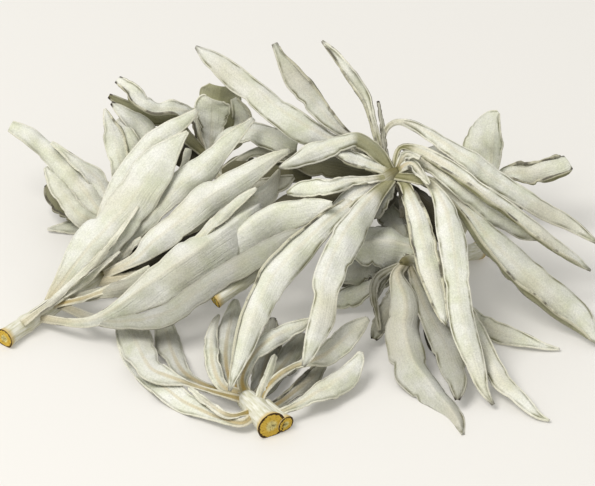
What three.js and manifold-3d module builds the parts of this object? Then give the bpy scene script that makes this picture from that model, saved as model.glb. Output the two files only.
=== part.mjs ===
// A bunch of dried white sage: seven cut leafy stems lying in a loose heap.
// Millimetres, +Z up, the heap seen from -Y. The origin is on the surface under the middle of the heap.

import * as THREE from 'three';
import Module from 'manifold-3d';

const wasm = await Module();
wasm.setup();

// Driving dimensions, in millimetres and degrees.
const LOOK_DOWN = 35; // how steeply the heap is looked down on in the front view that places its leaves
const FACE_UP = 55; // how steeply the upper face of an unrolled leaf looks up
const HEAP_MIDDLE = { x: 0, y: 71.4 }; // middle of the heap's outline, measured in the front view's frame
const BLADE_THICKNESS = 0.8;
const TIP_HALF_WIDTH = 0.5;
const ROW_LENGTH = 9; // length of blade between two rows of points
const FEWEST_ROWS = 4;
const MOST_ROWS = 8;
const WIDE_HALF_BLADE = 3.6; // a half blade this wide is split in two across
const STEM_SIDES = 8;
const NODE_SWELL = 0.1; // how much a stem thickens where leaves leave it, as a share of its radius
const NODE_SPACING = 11;
const LEAF_COLOUR = '#d3d6c6';

const radians = THREE.MathUtils.degToRad;
const faceDirection = new THREE.Vector3(0, -Math.cos(radians(FACE_UP)), Math.sin(radians(FACE_UP)));

// A place in the front view: how far across, how far up the view, and how high above the surface.
function place([across, up, height]) {
  const tilt = radians(LOOK_DOWN);
  const depth = (up - height * Math.cos(tilt)) / Math.sin(tilt);
  return new THREE.Vector3(across - HEAP_MIDDLE.x, depth - HEAP_MIDDLE.y, height);
}

function smoothCurve(points) {
  return new THREE.CatmullRomCurve3(points, false, 'catmullrom', 0.5);
}

// A closed solid from flat lists of corner points and triangles.
function solidOf(points, triangles) {
  const vertProperties = new Float32Array(points.flatMap((point) => point.toArray()));
  const triVerts = new Uint32Array(triangles.flat());
  return new wasm.Manifold(new wasm.Mesh({ numProp: 3, vertProperties, triVerts }));
}

// The section of a half blade, from the midrib to the margin: it starts at the fold angle and bends on by
// the curl angle. How far out and how far down it lies is in shares of the half width that shows.
function halfSection(fold, curl, reach) {
  const bend = fold + curl * reach;
  const outAt = (angle) => Math.sin(angle) - Math.sin(fold);
  const widest = outAt(Math.min(fold + curl, Math.PI / 2));
  return { bend, out: outAt(bend) / widest, drop: (Math.cos(fold) - Math.cos(bend)) / widest };
}

// A leaf blade. Its midrib follows the route, whose last numbers are half the width that shows there.
// A midrib off the middle makes one half wider. The margins wave up and down, most at the very edge.
function leafBlade(options) {
  const leaf = { fold: 10, curl: 30, roll: 0, rib: 0, wave: 0.5, waves: 2.5, ...options };
  const curve = smoothCurve(leaf.route.map(place));
  const widths = smoothCurve(leaf.route.map(([, , , half]) => new THREE.Vector3(half, 0, 0)));
  const rowCount = Math.round(curve.getLength() / ROW_LENGTH);
  const rows = THREE.MathUtils.clamp(rowCount, FEWEST_ROWS, MOST_ROWS);
  const widest = Math.max(...leaf.route.map(([, , , half]) => half));
  const columns = widest >= WIDE_HALF_BLADE ? 4 : 2;
  const points = [];
  for (let row = 0; row <= rows; row++) {
    const along = row / rows;
    const middle = curve.getPointAt(along);
    const tangent = curve.getTangentAt(along);
    const normal = faceDirection.clone().addScaledVector(tangent, -faceDirection.dot(tangent)).normalize();
    normal.applyAxisAngle(tangent, radians(leaf.roll));
    const across = tangent.clone().cross(normal);
    const half = Math.max(TIP_HALF_WIDTH, widths.getPoint(curve.getUtoTmapping(along)).x);
    for (let column = 0; column <= columns; column++) {
      const side = (2 * column) / columns - 1;
      const section = halfSection(radians(leaf.fold), radians(leaf.curl), Math.abs(side));
      const share = 1 - Math.sign(side) * leaf.rib;
      const lift = leaf.wave * side ** 2 * Math.sin(along * Math.PI)
        * Math.sin(2 * Math.PI * leaf.waves * along + side);
      const out = half * (Math.sign(side) * share * section.out + leaf.rib);
      const centre = middle.clone().addScaledVector(across, out);
      centre.addScaledVector(normal, lift - half * share * section.drop);
      const slant = side === 0 ? 0 : section.bend;
      const skin = normal.clone().multiplyScalar(Math.cos(slant));
      skin.addScaledVector(across, Math.sign(side) * Math.sin(slant));
      points.push(centre.clone().addScaledVector(skin, BLADE_THICKNESS / 2));
      points.push(centre.clone().addScaledVector(skin, -BLADE_THICKNESS / 2));
    }
  }
  return solidOf(points, bladeTriangles(rows, columns));
}

// Both faces of a blade are split along the same diagonals, so they stay parallel where it waves.
function bladeTriangles(rows, columns) {
  const top = (row, column) => 2 * (row * (columns + 1) + column);
  const under = (row, column) => top(row, column) + 1;
  const triangles = [];
  const quad = (a, b, c, d) => triangles.push([a, b, c], [a, c, d]);
  for (let row = 0; row < rows; row++) {
    for (let column = 0; column < columns; column++) {
      quad(top(row, column), top(row, column + 1), top(row + 1, column + 1), top(row + 1, column));
      triangles.push([under(row, column), under(row + 1, column + 1), under(row, column + 1)]);
      triangles.push([under(row, column), under(row + 1, column), under(row + 1, column + 1)]);
    }
    quad(top(row, 0), top(row + 1, 0), under(row + 1, 0), under(row, 0));
    quad(top(row + 1, columns), top(row, columns), under(row, columns), under(row + 1, columns));
  }
  for (let column = 0; column < columns; column++) {
    quad(top(0, column + 1), top(0, column), under(0, column), under(0, column + 1));
    quad(top(rows, column), top(rows, column + 1), under(rows, column + 1), under(rows, column));
  }
  return triangles;
}

// A stem: a round section that tapers along its route and swells a little at each leaf node.
function stemTube({ route, radius, endRadius }) {
  const curve = smoothCurve(route.map(place));
  const steps = Math.max(2, Math.round(curve.getLength() / (NODE_SPACING / 2)));
  const points = [];
  for (let step = 0; step <= steps; step++) {
    const along = step / steps;
    const middle = curve.getPointAt(along);
    const tangent = curve.getTangentAt(along);
    const sideways = new THREE.Vector3(0, 0, 1).cross(tangent).normalize();
    const upward = tangent.clone().cross(sideways);
    const swell = step % 2 === 1 ? 1 + NODE_SWELL : 1;
    const size = THREE.MathUtils.lerp(radius, endRadius, along) * swell;
    for (let corner = 0; corner < STEM_SIDES; corner++) {
      const turn = (2 * Math.PI * (corner + 0.5)) / STEM_SIDES;
      const point = middle.clone().addScaledVector(sideways, size * Math.cos(turn));
      points.push(point.addScaledVector(upward, size * Math.sin(turn)));
    }
  }
  const triangles = [];
  for (let step = 0; step < steps; step++) {
    for (let corner = 0; corner < STEM_SIDES; corner++) {
      const next = (corner + 1) % STEM_SIDES;
      const a = step * STEM_SIDES + corner;
      const b = step * STEM_SIDES + next;
      triangles.push([a, b, b + STEM_SIDES], [a, b + STEM_SIDES, a + STEM_SIDES]);
    }
  }
  const last = steps * STEM_SIDES;
  for (let corner = 1; corner < STEM_SIDES - 1; corner++) {
    triangles.push([0, corner + 1, corner], [last, last + corner, last + corner + 1]);
  }
  return solidOf(points, triangles);
}

// The largest closed surface of a solid: hollows that the joined leaves seal are filled, and scraps dropped.
function outerShell(solid) {
  const shells = solid.decompose().sort((a, b) => b.volume() - a.volume());
  return shells[0];
}

// One leafy stem: its stems and leaves joined in one body, cut flat where it lies on the surface.
function leafyStem(name, stems, leaves) {
  let body = stemTube(stems[0]);
  for (const stem of stems.slice(1)) {
    body = body.add(stemTube(stem));
  }
  for (const leaf of leaves) {
    body = body.add(leafBlade(leaf));
  }
  const mesh = outerShell(body.trimByPlane([0, 0, 1], 0)).getMesh();
  const geometry = new THREE.BufferGeometry();
  geometry.setAttribute('position', new THREE.BufferAttribute(mesh.vertProperties, 3));
  geometry.setIndex(new THREE.BufferAttribute(mesh.triVerts, 1));
  geometry.computeVertexNormals();
  const material = new THREE.MeshStandardMaterial({ color: LEAF_COLOUR, roughness: 0.95, metalness: 0 });
  const piece = new THREE.Mesh(geometry, material);
  piece.name = name;
  return piece;
}

// Routes run from root to tip. Each point is across, up the front view, and above the surface, and on a
// leaf the fourth number is half the width that shows in that view.
const leftStem = leafyStem('leafy_stem_left', [
  { route: [[-98, 33, 3.1], [-85, 42, 3.4], [-74, 49, 6], [-65, 54.5, 9]], radius: 3.3, endRadius: 2.4 },
], [
  { route: [[-75, 49, 6, 1], [-68, 66, 16, 3], [-60, 84, 27, 4], [-51.5, 96.5, 35, 3.8],
    [-45, 102, 39, 3], [-39.5, 105.5, 41.5, 2.2], [-34.5, 109.5, 43.5, 0.8]] },
  { route: [[-84, 45, 5, 1], [-76.5, 55.5, 12, 4.1], [-69.5, 64.5, 19, 7.6], [-61.5, 73, 25, 7],
    [-54, 82.5, 32, 7.5], [-47.5, 91.5, 39, 6.2], [-42.5, 97, 43, 3.2], [-37.5, 102, 47, 0.6]], fold: 6,
    curl: 20 },
  { route: [[-67, 53, 8, 1], [-61.5, 60.8, 14, 1.6], [-55.5, 68.5, 19.5, 2.8], [-47, 77.5, 27, 3.6],
    [-40.5, 84, 32, 4.9], [-33, 89.5, 36.5, 4.4], [-28, 94.5, 40, 3.3], [-22, 100.5, 43.5, 2.4],
    [-15.5, 106.5, 47, 0.8]] },
  { route: [[-68, 53, 8, 1], [-55.5, 59, 16, 2], [-49.5, 64.5, 21.5, 4], [-44, 69, 25.5, 4.9],
    [-36, 75, 30, 4.9], [-30, 80.5, 33, 5.4], [-23, 84.5, 36, 4.9], [-15, 89.5, 39, 3.4],
    [-9, 93.3, 41.5, 1.9], [-3.5, 95.7, 43, 0.8]], fold: 14 },
  { route: [[-87, 40, 4, 0.9], [-73, 38.5, 8, 1.3], [-64, 41, 12, 2.2], [-53, 47.5, 17.5, 4.7],
    [-42.5, 54, 22, 7.2], [-33, 60, 26, 8.6], [-26.5, 65.5, 28.5, 7.3], [-22, 70, 30, 3.8],
    [-17.5, 74, 31, 3.2], [-13, 77.7, 31.5, 0.9]], fold: 38, curl: 6, rib: -0.3 },
  { route: [[-40, 60, 24, 0.7], [-28, 72, 31, 1.7], [-20, 79, 35, 1.4], [-14.5, 83, 38, 0.5]] },
  { route: [[-80, 44, 5, 1], [-63, 38.8, 10, 2], [-46, 41, 14.5, 4], [-36, 45.5, 18, 4.6],
    [-28, 50.5, 21.5, 4.8], [-19, 57, 25.5, 4.8], [-10.5, 62.7, 29, 3.8], [-4, 67, 32, 2.5],
    [1, 69, 33.5, 0.8]], roll: 8 },
  { route: [[-68, 52, 8, 1], [-50, 54, 12, 2.5], [-33, 58, 18, 4], [-20, 66, 26, 4.7],
    [-9, 73.5, 33.5, 4.8], [0.5, 76.3, 38.5, 3.7], [6, 77.6, 41.3, 2], [10.5, 78, 43.2, 0.6]], fold: 22,
    rib: -0.5 },
  { route: [[-77, 46, 6, 0.9], [-63, 49, 12, 2.3], [-56, 51.5, 15.5, 2], [-51, 54, 18, 0.6]] },
  { route: [[-66, 54, 9, 1.1], [-58, 62, 15, 1.2], [-53, 66.5, 19, 0.5]] },
  { route: [[-67, 53, 8, 1], [-62, 64, 16, 3.2], [-52, 76, 24, 4.4], [-41, 87, 28, 1]] },
  { route: [[-68, 52, 7, 1], [-50, 60, 9, 4], [-32, 67, 11, 4.2], [-14, 72, 11, 0.8]], roll: 10 },
  { route: [[-66, 53, 8, 0.8], [-45, 66, 18, 1.5], [-25, 76, 25, 2.5], [-12, 82.5, 30, 3.4],
    [-7, 89.5, 33, 0.6]], fold: 38 },
  { route: [[-50, 78, 24.8, 1.2], [-43, 85, 28.5, 1], [-39, 90.5, 32, 1], [-37.5, 96.5, 36.5, 1]],
    curl: 70 },
  { route: [[-94, 37, 5, 0.8], [-80, 46, 8.5, 0.9], [-70, 53.5, 12, 1], [-60, 62, 17, 0.5]] },
  { route: [[-82, 44, 6, 0.8], [-70, 47, 9.5, 1], [-60, 51, 13, 1.2], [-50, 57, 17, 0.5]] },
  { route: [[-92, 38, 6, 0.9], [-79, 48.5, 11, 1], [-70, 57, 16, 1], [-61, 67, 22, 0.8],
    [-54, 77, 28, 0.4]] },
  { route: [[-66, 53, 6, 1], [-50, 63, 12, 3.4], [-34, 74, 17, 4], [-22, 82, 20, 1]] },
  { route: [[-66, 52, 6, 1], [-46, 58, 11, 3.6], [-26, 66, 16, 4.4], [-8, 73, 18, 1]] },
]);

const frontStem = leafyStem('leafy_stem_front', [
  { route: [[-9.3, 5.1, 4.2], [-14, 10, 4.1], [-18.5, 14.5, 4.1]], radius: 4.7, endRadius: 3.4 },
  { route: [[-5.1, 4.1, 2.8], [-10, 9, 3.4], [-16, 14, 4]], radius: 2.9, endRadius: 2.8 },
], [
  { route: [[-14, 10, 4.5, 1.2], [-19, 6, 3.8, 1.2], [-28, 8.3, 3.2, 2], [-37.5, 12.5, 2.9, 3.6],
    [-45, 17.5, 2.6, 4.3], [-51.5, 23.5, 2.4, 4.2], [-56.5, 30, 2.3, 3.4], [-60, 36, 2.4, 1.2]], fold: 6,
    curl: 12 },
  { route: [[-17, 13, 5, 1.2], [-28.5, 16, 6.8, 0.9], [-37.5, 19, 7, 1.1], [-44, 21.3, 6.8, 2.8],
    [-49.2, 23.7, 6.4, 4.3], [-52.3, 28.3, 5.8, 5.2], [-54.8, 33.2, 5.2, 5.6], [-57, 37.2, 4.8, 4.8],
    [-59, 40.5, 4.5, 2]], curl: 14 },
  { route: [[-18, 14, 5, 1], [-28, 17, 4.6, 1], [-36, 20.5, 4.2, 1.4], [-40, 24.5, 3.9, 2.8],
    [-42.5, 29.5, 3.6, 3.8], [-44, 34, 3.4, 4], [-46, 39, 3.2, 2.5], [-47.5, 42, 3, 0.8]], curl: 20 },
  { route: [[-19, 15, 5, 1.2], [-25.5, 18, 7, 1.6], [-28.5, 24.5, 8.5, 2.3], [-29.3, 31.5, 8, 2.3],
    [-28.6, 37.5, 7, 1.2], [-27, 41, 6, 0.5]] },
  { route: [[-19, 15, 5, 1.2], [-23, 20, 5.5, 2], [-24.5, 27, 6, 3.2], [-24, 34, 6, 3.8],
    [-22.5, 41, 5, 3], [-21.5, 46, 4.5, 1]] },
  { route: [[-17, 14, 5, 1.4], [-19, 19.5, 8, 1.6], [-17, 25.5, 10.5, 2.1], [-12.8, 30.8, 12.5, 2.8],
    [-6.5, 35, 13.8, 2.9], [-1, 37.3, 14.3, 2.3], [4, 39.5, 14.5, 0.9]] },
  { route: [[-16, 13, 5, 1], [-11, 18, 4.8, 2.4], [-6, 24, 5, 3.6], [-2, 30, 5.2, 3.4],
    [1, 35, 5.5, 1]] },
  { route: [[-14.5, 10.5, 6, 1.2], [-12.5, 17, 9, 1.1], [-10.3, 22.8, 11.5, 1.1],
    [-8.3, 28.3, 13.5, 0.9]], fold: 40 },
  { route: [[-14, 10, 5, 1.3], [-12, 16, 8, 1.2], [-7.5, 21, 9.5, 1.1], [-3, 23.8, 10.2, 1.1],
    [2.8, 25.8, 10.8, 1.6], [8.7, 28.5, 11.3, 3.2], [13.7, 32.5, 11.8, 4.2], [18, 36.5, 12, 3.2],
    [22.5, 40, 12.2, 1]] },
  { route: [[-11, 7, 4, 1.4], [-7.5, 8.9, 5, 1.1], [-0.5, 12.3, 6.2, 1.5], [5.5, 15.8, 7, 3.2],
    [10.5, 18.8, 7.4, 4.1], [15, 21.8, 7.8, 4], [18.5, 25.5, 8.3, 2.4], [20, 29, 8.8, 0.8]], roll: 8 },
  { route: [[-15, 10, 5, 1], [-22, 8.5, 6, 0.9], [-28, 11, 6.4, 1.2], [-36.5, 17.5, 6.6, 0.6]] },
  { route: [[-15, 12, 4.5, 1], [-12, 22, 3.6, 3.6], [-10, 31, 3.4, 4], [-9, 40, 3.2, 1]] },
  { route: [[-12, 9, 4, 1], [-3, 15, 4.2, 2], [4, 21, 4.4, 2.6], [9, 27, 4.6, 1]] },
]);

const topStem = leafyStem('leafy_stem_top', [
  { route: [[-28.3, 45.7, 12], [-5, 62, 24], [15, 76, 35], [32.5, 89, 45]], radius: 2.7, endRadius: 2.9 },
], [
  { route: [[28, 87, 42.5, 1], [16.5, 95.5, 48, 2], [7.5, 100, 51.5, 3.3], [0.5, 103.5, 54, 4.2],
    [-6.5, 108, 56.5, 4.3], [-13, 113.3, 58.5, 4.2], [-18.5, 118, 60.5, 4], [-24.5, 123, 62.3, 3.6],
    [-30, 127, 63.5, 2.6], [-35, 130.7, 64.5, 0.5]], fold: 14, rib: 0.25 },
  { route: [[28.5, 87, 43, 0.9], [20, 97, 50, 1.2], [14, 102, 54, 1.6], [9.5, 106, 57, 2.7],
    [5, 111.5, 60.5, 3.5], [0.5, 117, 64.5, 3.7], [-3.5, 122.5, 68.5, 2.8], [-6.5, 127, 72, 1.5],
    [-8.5, 131.3, 75, 1]] },
  { route: [[29, 87, 43, 0.9], [25.8, 99, 50, 0.9], [24.2, 105.5, 55, 1.2], [22.3, 112, 60, 1.6],
    [19, 117.3, 65, 1.8], [15.3, 122.6, 70, 1.7], [11.2, 128, 74, 1.1], [7.3, 132, 77, 0.4]], roll: 20 },
  { route: [[30, 87, 43, 0.8], [27.5, 98, 50, 0.8], [29, 103.3, 55, 0.8], [33, 105.2, 57, 0.9],
    [38.5, 103.7, 56.5, 1.6], [44.5, 100.3, 54.5, 2.3], [50, 96.5, 52.5, 2.9], [57, 92, 49, 3.3],
    [63.5, 87, 44.5, 3.5], [70.5, 82.5, 40, 3.4], [77, 78.5, 35.5, 3.3], [83.5, 75, 31, 2.9],
    [90.5, 71, 26, 2.1], [99.5, 64.5, 20, 0.5]] },
  { route: [[31, 88, 44, 0.7], [33, 96, 49.5, 0.7], [39, 95.8, 50, 1.5], [45, 92.7, 50, 2.2],
    [51, 89, 48.5, 2.5], [57, 84.6, 46, 2.6], [62.5, 80.3, 43, 2.5], [68.5, 76.5, 39, 2.3],
    [74, 72.3, 34.5, 2.3], [80.5, 67.5, 29.5, 2.6], [87, 62.6, 23.5, 2.2], [92.5, 58.8, 18.5, 1.4],
    [96.8, 55.5, 14, 0.4]] },
  { route: [[31.5, 88, 44, 0.7], [35, 94.5, 48.5, 1], [40.5, 92.7, 49, 1.9], [46.5, 88.9, 47, 2.4],
    [52, 84.5, 44.5, 2.6], [58, 79.8, 40.5, 2.5], [63.5, 75.5, 36.5, 2.4], [69.5, 71.7, 32, 1.8],
    [74.5, 68.7, 28.5, 1.7], [79.5, 66.3, 25, 0.7]], fold: 24, curl: 60 },
  { route: [[31, 87, 44, 1], [39, 86, 44, 1.6], [46, 83.5, 41.5, 2], [51, 80.5, 39, 2.6],
    [57, 74, 34.5, 3.8], [63, 66, 29, 4.5], [72, 57.5, 22, 5.3], [79.5, 51, 16.5, 5.6],
    [87, 44.8, 11, 5.5], [93, 39.5, 7, 4.1], [99.3, 31, 2.6, 0.6]] },
  { route: [[31, 87, 43, 0.8], [34.5, 84.5, 42.5, 1.5], [37, 79, 40, 2.7], [39, 73.3, 38, 3.6],
    [40.3, 67.3, 35.5, 4.3], [41.5, 61.5, 32.5, 3.9], [43, 55, 28.5, 3.7], [44.7, 49, 25, 3.1],
    [46.3, 43, 21.5, 2], [48, 37.7, 19, 0.6]] },
  { route: [[32, 88, 44, 0.8], [39, 87, 44, 1], [44, 83.5, 43.5, 1.5], [48, 76.5, 41.5, 3.4],
    [50, 67.3, 38, 4.5], [51, 59, 34, 4.4], [52, 50.5, 29.5, 4], [53, 42.3, 24, 4], [54.3, 35.5, 19, 4],
    [56.3, 29, 14.5, 3.6], [58.3, 22.3, 9.5, 2.7], [60.3, 16.5, 5.5, 1.4], [63.3, 11.8, 2.5, 0.5]] },
  { route: [[31, 88, 44, 0.9], [26, 94.5, 51, 2.4], [20, 99.3, 56.5, 2.4], [14.5, 98.8, 57, 2.4],
    [9, 97.3, 55, 3.3], [2.8, 94.8, 51.5, 3.3], [-2.7, 92, 48, 2], [-7, 89.8, 45.5, 0.5]], fold: 26 },
  { route: [[31, 88, 44.5, 0.8], [25, 90.3, 47.5, 1.9], [19, 92.3, 50, 2.5], [14.5, 94, 52, 2],
    [10.3, 96, 53, 0.6]] },
  { route: [[30, 87, 44, 0.9], [24, 86, 45.5, 1.2], [16.5, 85.3, 46, 1.8], [10, 83.5, 45.5, 2.4],
    [4.8, 83.2, 44.5, 3.1], [0.5, 83, 43, 2.6], [-4.5, 81.3, 41, 0.7]], wave: 1.4, waves: 2 },
  { route: [[31, 87.5, 44, 0.9], [27, 85.7, 44, 1.4], [22, 83.3, 43, 2.2], [16.7, 80, 40.5, 3],
    [13, 76.5, 38, 3], [10.3, 72, 35, 2.2], [8.7, 67, 32, 0.6]] },
  { route: [[31.5, 87, 43.5, 0.9], [25.5, 81, 42.5, 2.6], [20, 74, 40.5, 4.2], [15, 66, 37.5, 5],
    [11.5, 58.5, 33.5, 5], [9, 52.3, 30, 4.8], [8.3, 47.3, 27, 3.7], [7.2, 40.8, 23.5, 3.9],
    [5, 34.7, 20, 3.1], [3, 29, 17, 1.9], [1, 24.5, 14.5, 0.5]], fold: 16, rib: 0.3 },
  { route: [[29, 86, 43, 0.9], [20.5, 80.5, 40.5, 1.8], [11.5, 74, 37.5, 3], [5, 68.3, 35, 4.1],
    [-2.5, 61, 31, 4.8], [-8.5, 54.5, 27.5, 5.1], [-13.2, 46, 23.5, 4.7], [-16.2, 38.3, 20, 4.2],
    [-18.7, 30.7, 17, 3.2], [-21, 23, 14, 1.8], [-23, 16.5, 12, 0.5]] },
  { route: [[29, 86, 42, 1], [14, 81.5, 36, 4.2], [0, 79, 30, 5.2], [-9, 76, 27, 2]] },
  { route: [[31, 86, 43, 1], [28, 80, 37, 3.4], [24, 73, 31, 0.8]] },
  { route: [[30, 86, 42, 1], [18, 89, 39, 3.4], [6, 91, 36.5, 3.8], [-5, 92.5, 34, 0.8]] },
  { route: [[32, 86, 42, 1], [40, 92, 40, 3.4], [48, 96, 32, 3.8], [56, 94, 22, 0.8]] },
  { route: [[32, 86, 43, 1], [36, 80, 38, 3], [34, 73, 35, 0.8]] },
  { route: [[32, 88.5, 44.5, 0.8], [37, 91, 49, 1.7], [43, 84, 46, 0.5]] },
  { route: [[32, 88.5, 44.5, 0.8], [35, 94, 51, 1.4], [40, 93, 52, 0.5]] },
  { route: [[30, 88, 44, 0.6], [28, 98, 51, 0.6], [27.2, 105, 56, 0.6], [26, 112, 60, 0.4]] },
  { route: [[31, 86, 43, 1], [27.5, 79, 39, 2.4], [25, 73, 35, 0.8]], rib: 0.3 },
  { route: [[31, 86, 42, 1], [44, 76, 34, 3.6], [50, 66, 26, 4], [54, 58, 20, 1]] },
]);

const rightStem = leafyStem('leafy_stem_right', [
  { route: [[60, 62, 2.2], [47, 60, 14], [33.5, 58.3, 25]], radius: 3, endRadius: 2 },
], [
  { route: [[35, 58.5, 24, 0.9], [32, 54.5, 23.5, 2], [34, 47.6, 21, 4.2], [34.5, 42.2, 18.5, 4.6],
    [33.7, 37.8, 16, 5.5], [35.2, 30.2, 12.5, 5.7], [37.8, 24.4, 9.8, 5.3], [41.3, 19.9, 7.6, 4.7],
    [44.5, 15.4, 5.4, 4.6], [48.8, 10.8, 3.4, 3.1], [51.5, 6.5, 2, 1.6], [53, 2.7, 1, 0.5]], fold: 24,
    rib: -0.25, wave: 1.2, waves: 3 },
  { route: [[36, 58.5, 23, 0.8], [42, 42, 16.5, 3], [47, 33, 12.5, 4.2], [49.5, 26, 10, 4.4],
    [51.5, 19.5, 7.5, 3], [51.5, 13.5, 5, 0.7]] },
  { route: [[38, 58, 22, 1], [39, 62, 25, 3], [34, 64.5, 27.5, 6.4], [27, 65.5, 28.5, 7.4],
    [19.5, 65, 28, 5.6], [14, 64, 27, 1.4]], fold: 38, curl: 20, wave: 1.6 },
  { route: [[46, 60, 15, 0.9], [50, 49, 10.5, 2.4], [57, 40.5, 6.5, 3.2], [64, 36.3, 4.6, 3.5],
    [69.5, 34.3, 3.7, 3.2], [75, 32.3, 2.7, 2.3], [80.7, 30.5, 1.8, 1.2], [86, 29.5, 1, 0.4]], curl: 16 },
  { route: [[44, 59.7, 16, 0.9], [51, 49, 15, 2.2], [56, 40, 13, 3], [59.5, 32.3, 10.8, 3.2],
    [62.8, 25.2, 8.3, 3.4], [66.2, 19.8, 6.3, 3.3], [70.3, 15.8, 4.6, 2.8], [74.3, 11.7, 3, 2],
    [77.8, 8.4, 1.8, 1.1], [81.5, 6.6, 1, 0.4]], curl: 20 },
  { route: [[36, 58.5, 23, 1], [25, 52, 17, 1.3], [26.3, 35.7, 6, 0.5]] },
  { route: [[36, 58.5, 23, 1], [29, 54, 18, 1.3], [24.7, 45.3, 10, 0.5]] },
  { route: [[36, 58.5, 23, 1], [28, 52, 14, 1.6], [20, 49, 9, 3.2], [14, 46.5, 6, 3.4],
    [10, 44, 4.5, 1]] },
  { route: [[36, 58.5, 23, 1], [37, 67, 26, 1.8], [34, 75, 29, 3], [29.5, 79.5, 31, 2.4],
    [25, 81, 32, 0.7]] },
  { route: [[36, 58.5, 23, 1], [28, 58, 14, 3.4], [21, 55, 9, 4.2], [12, 51, 5.5, 1]] },
  { route: [[36, 58.5, 23, 1], [32.5, 48, 14, 3.4], [28, 40, 7, 3.6], [24.5, 33, 4, 1]] },
  { route: [[38, 58.5, 21, 1], [43, 42, 10, 3], [46, 32, 5.5, 3.6], [49, 23, 2.6, 0.8]] },
]);

const backLeftStem = leafyStem('leafy_stem_back_left', [
  { route: [[-42, 60, 2.5], [-51, 66, 5.5], [-60, 72.5, 10]], radius: 2.9, endRadius: 2.4 },
], [
  { route: [[-59, 71.5, 9, 1], [-67, 75, 12, 3.4], [-73, 83, 17, 5.2], [-79, 90, 21.5, 3.8],
    [-85.5, 96.5, 25.5, 2.8], [-92, 101.5, 29, 2.6], [-98, 104.5, 31, 2]], curl: 75 },
  { route: [[-60, 72, 9, 1], [-69, 72, 11, 2.8], [-75, 75, 13.5, 3.2], [-79.5, 81, 16, 3.1],
    [-83, 86, 18, 2.6], [-86, 90.5, 19.5, 0.9]] },
  { route: [[-60, 72, 8, 1], [-70, 72.5, 8, 2.4], [-78, 76, 8.5, 3.4], [-83.5, 80.5, 9.5, 2.8],
    [-86, 84.5, 10.5, 0.8]] },
  { route: [[-58, 71, 8, 1], [-67, 70, 4.5, 2.6], [-76, 70.3, 2.7, 2.5], [-85.5, 69.3, 1.2, 0.5]],
    curl: 12 },
  { route: [[-59, 71.5, 9, 1], [-58, 79, 16, 2.6], [-59.5, 88, 25, 3.4], [-61, 94, 30, 3.5],
    [-62.5, 100.5, 34.5, 3.5], [-64.3, 105.5, 38.5, 1.9], [-65.8, 110, 42, 0.4]] },
  { route: [[-57, 70, 8, 1], [-51, 84, 20, 3], [-49, 95, 29, 3.6], [-51, 100.5, 33.5, 3.8],
    [-54, 105, 37.5, 3.6], [-59, 108.5, 41, 2.2], [-63.5, 112, 43.5, 0.6]] },
  { route: [[-58, 71, 8, 1], [-54, 82, 18, 2.4], [-55, 94, 29, 2.6], [-57.5, 101.5, 35, 2],
    [-61.5, 106.5, 38.5, 0.6]] },
  { route: [[-60, 72, 8.5, 1], [-65, 80, 14, 2.4], [-68.5, 86.5, 19, 3.4], [-74, 91, 23, 2],
    [-79, 95, 26, 1.1], [-84, 98.8, 28.5, 0.6]] },
]);

const backMiddleStem = leafyStem('leafy_stem_back_middle', [
  { route: [[-12, 66, 2.1], [-22, 80, 13], [-32, 95, 26]], radius: 2.8, endRadius: 2.2 },
], [
  { route: [[-32, 95, 25, 1], [-35, 107, 36, 2.8], [-41, 109.8, 41, 3], [-48, 110, 43, 2.6],
    [-54, 113.5, 47, 2.8], [-58, 117.5, 50, 2.2], [-61.5, 120, 51, 1.4]], wave: 1.6 },
  { route: [[-31.3, 94, 25.4, 1.2], [-42, 104, 33.5, 2.4], [-51, 107.8, 36.5, 2.4], [-58, 111, 39, 1.8],
    [-64.5, 114.5, 42, 0.8]] },
  { route: [[-30, 92, 22, 1], [-30, 98, 29, 2.4], [-29.7, 104, 35.5, 4.4], [-29.5, 109, 41, 6],
    [-29.3, 111.5, 44, 5.6], [-29, 113, 46, 3.4]], fold: 4, curl: 16 },
  { route: [[-31, 93, 23, 1], [-26, 100, 33, 3.2], [-17, 102.5, 38.5, 3.6], [-9, 100.5, 40, 3.8],
    [-3.5, 98.5, 40, 3.6], [-0.8, 97.8, 39.8, 2]], curl: 55 },
  { route: [[-28, 88, 20, 1], [-20, 91, 26, 4.2], [-8, 89, 28, 4.6], [4, 87, 28, 1]] },
  { route: [[-28, 88, 20, 1], [-16, 95, 30, 1.6], [-7, 94.5, 33, 2.4], [0.5, 91, 33, 0.8]] },
  { route: [[-28, 88, 20, 1], [-19, 84, 24, 2.2], [-8, 84.5, 29, 3], [-2, 87, 31, 0.8]] },
  { route: [[-25, 84, 16, 1], [-30, 76, 12, 3], [-40, 78, 8, 0.8]] },
  { route: [[-30, 92, 20, 1], [-29, 102, 31.5, 5], [-28, 108, 37.5, 6.6], [-27, 113.5, 42.5, 6.8],
    [-26.5, 117.5, 46.5, 4]], curl: 40 },
  { route: [[-30, 92, 21, 1], [-22, 101, 31, 3.6], [-19.5, 107, 37, 3.2], [-22.5, 113.5, 42.5, 1]] },
  { route: [[-30, 90, 22, 1], [-38, 94, 24, 4], [-43, 100, 27, 4.6], [-46, 107, 31, 1]] },
]);

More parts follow.
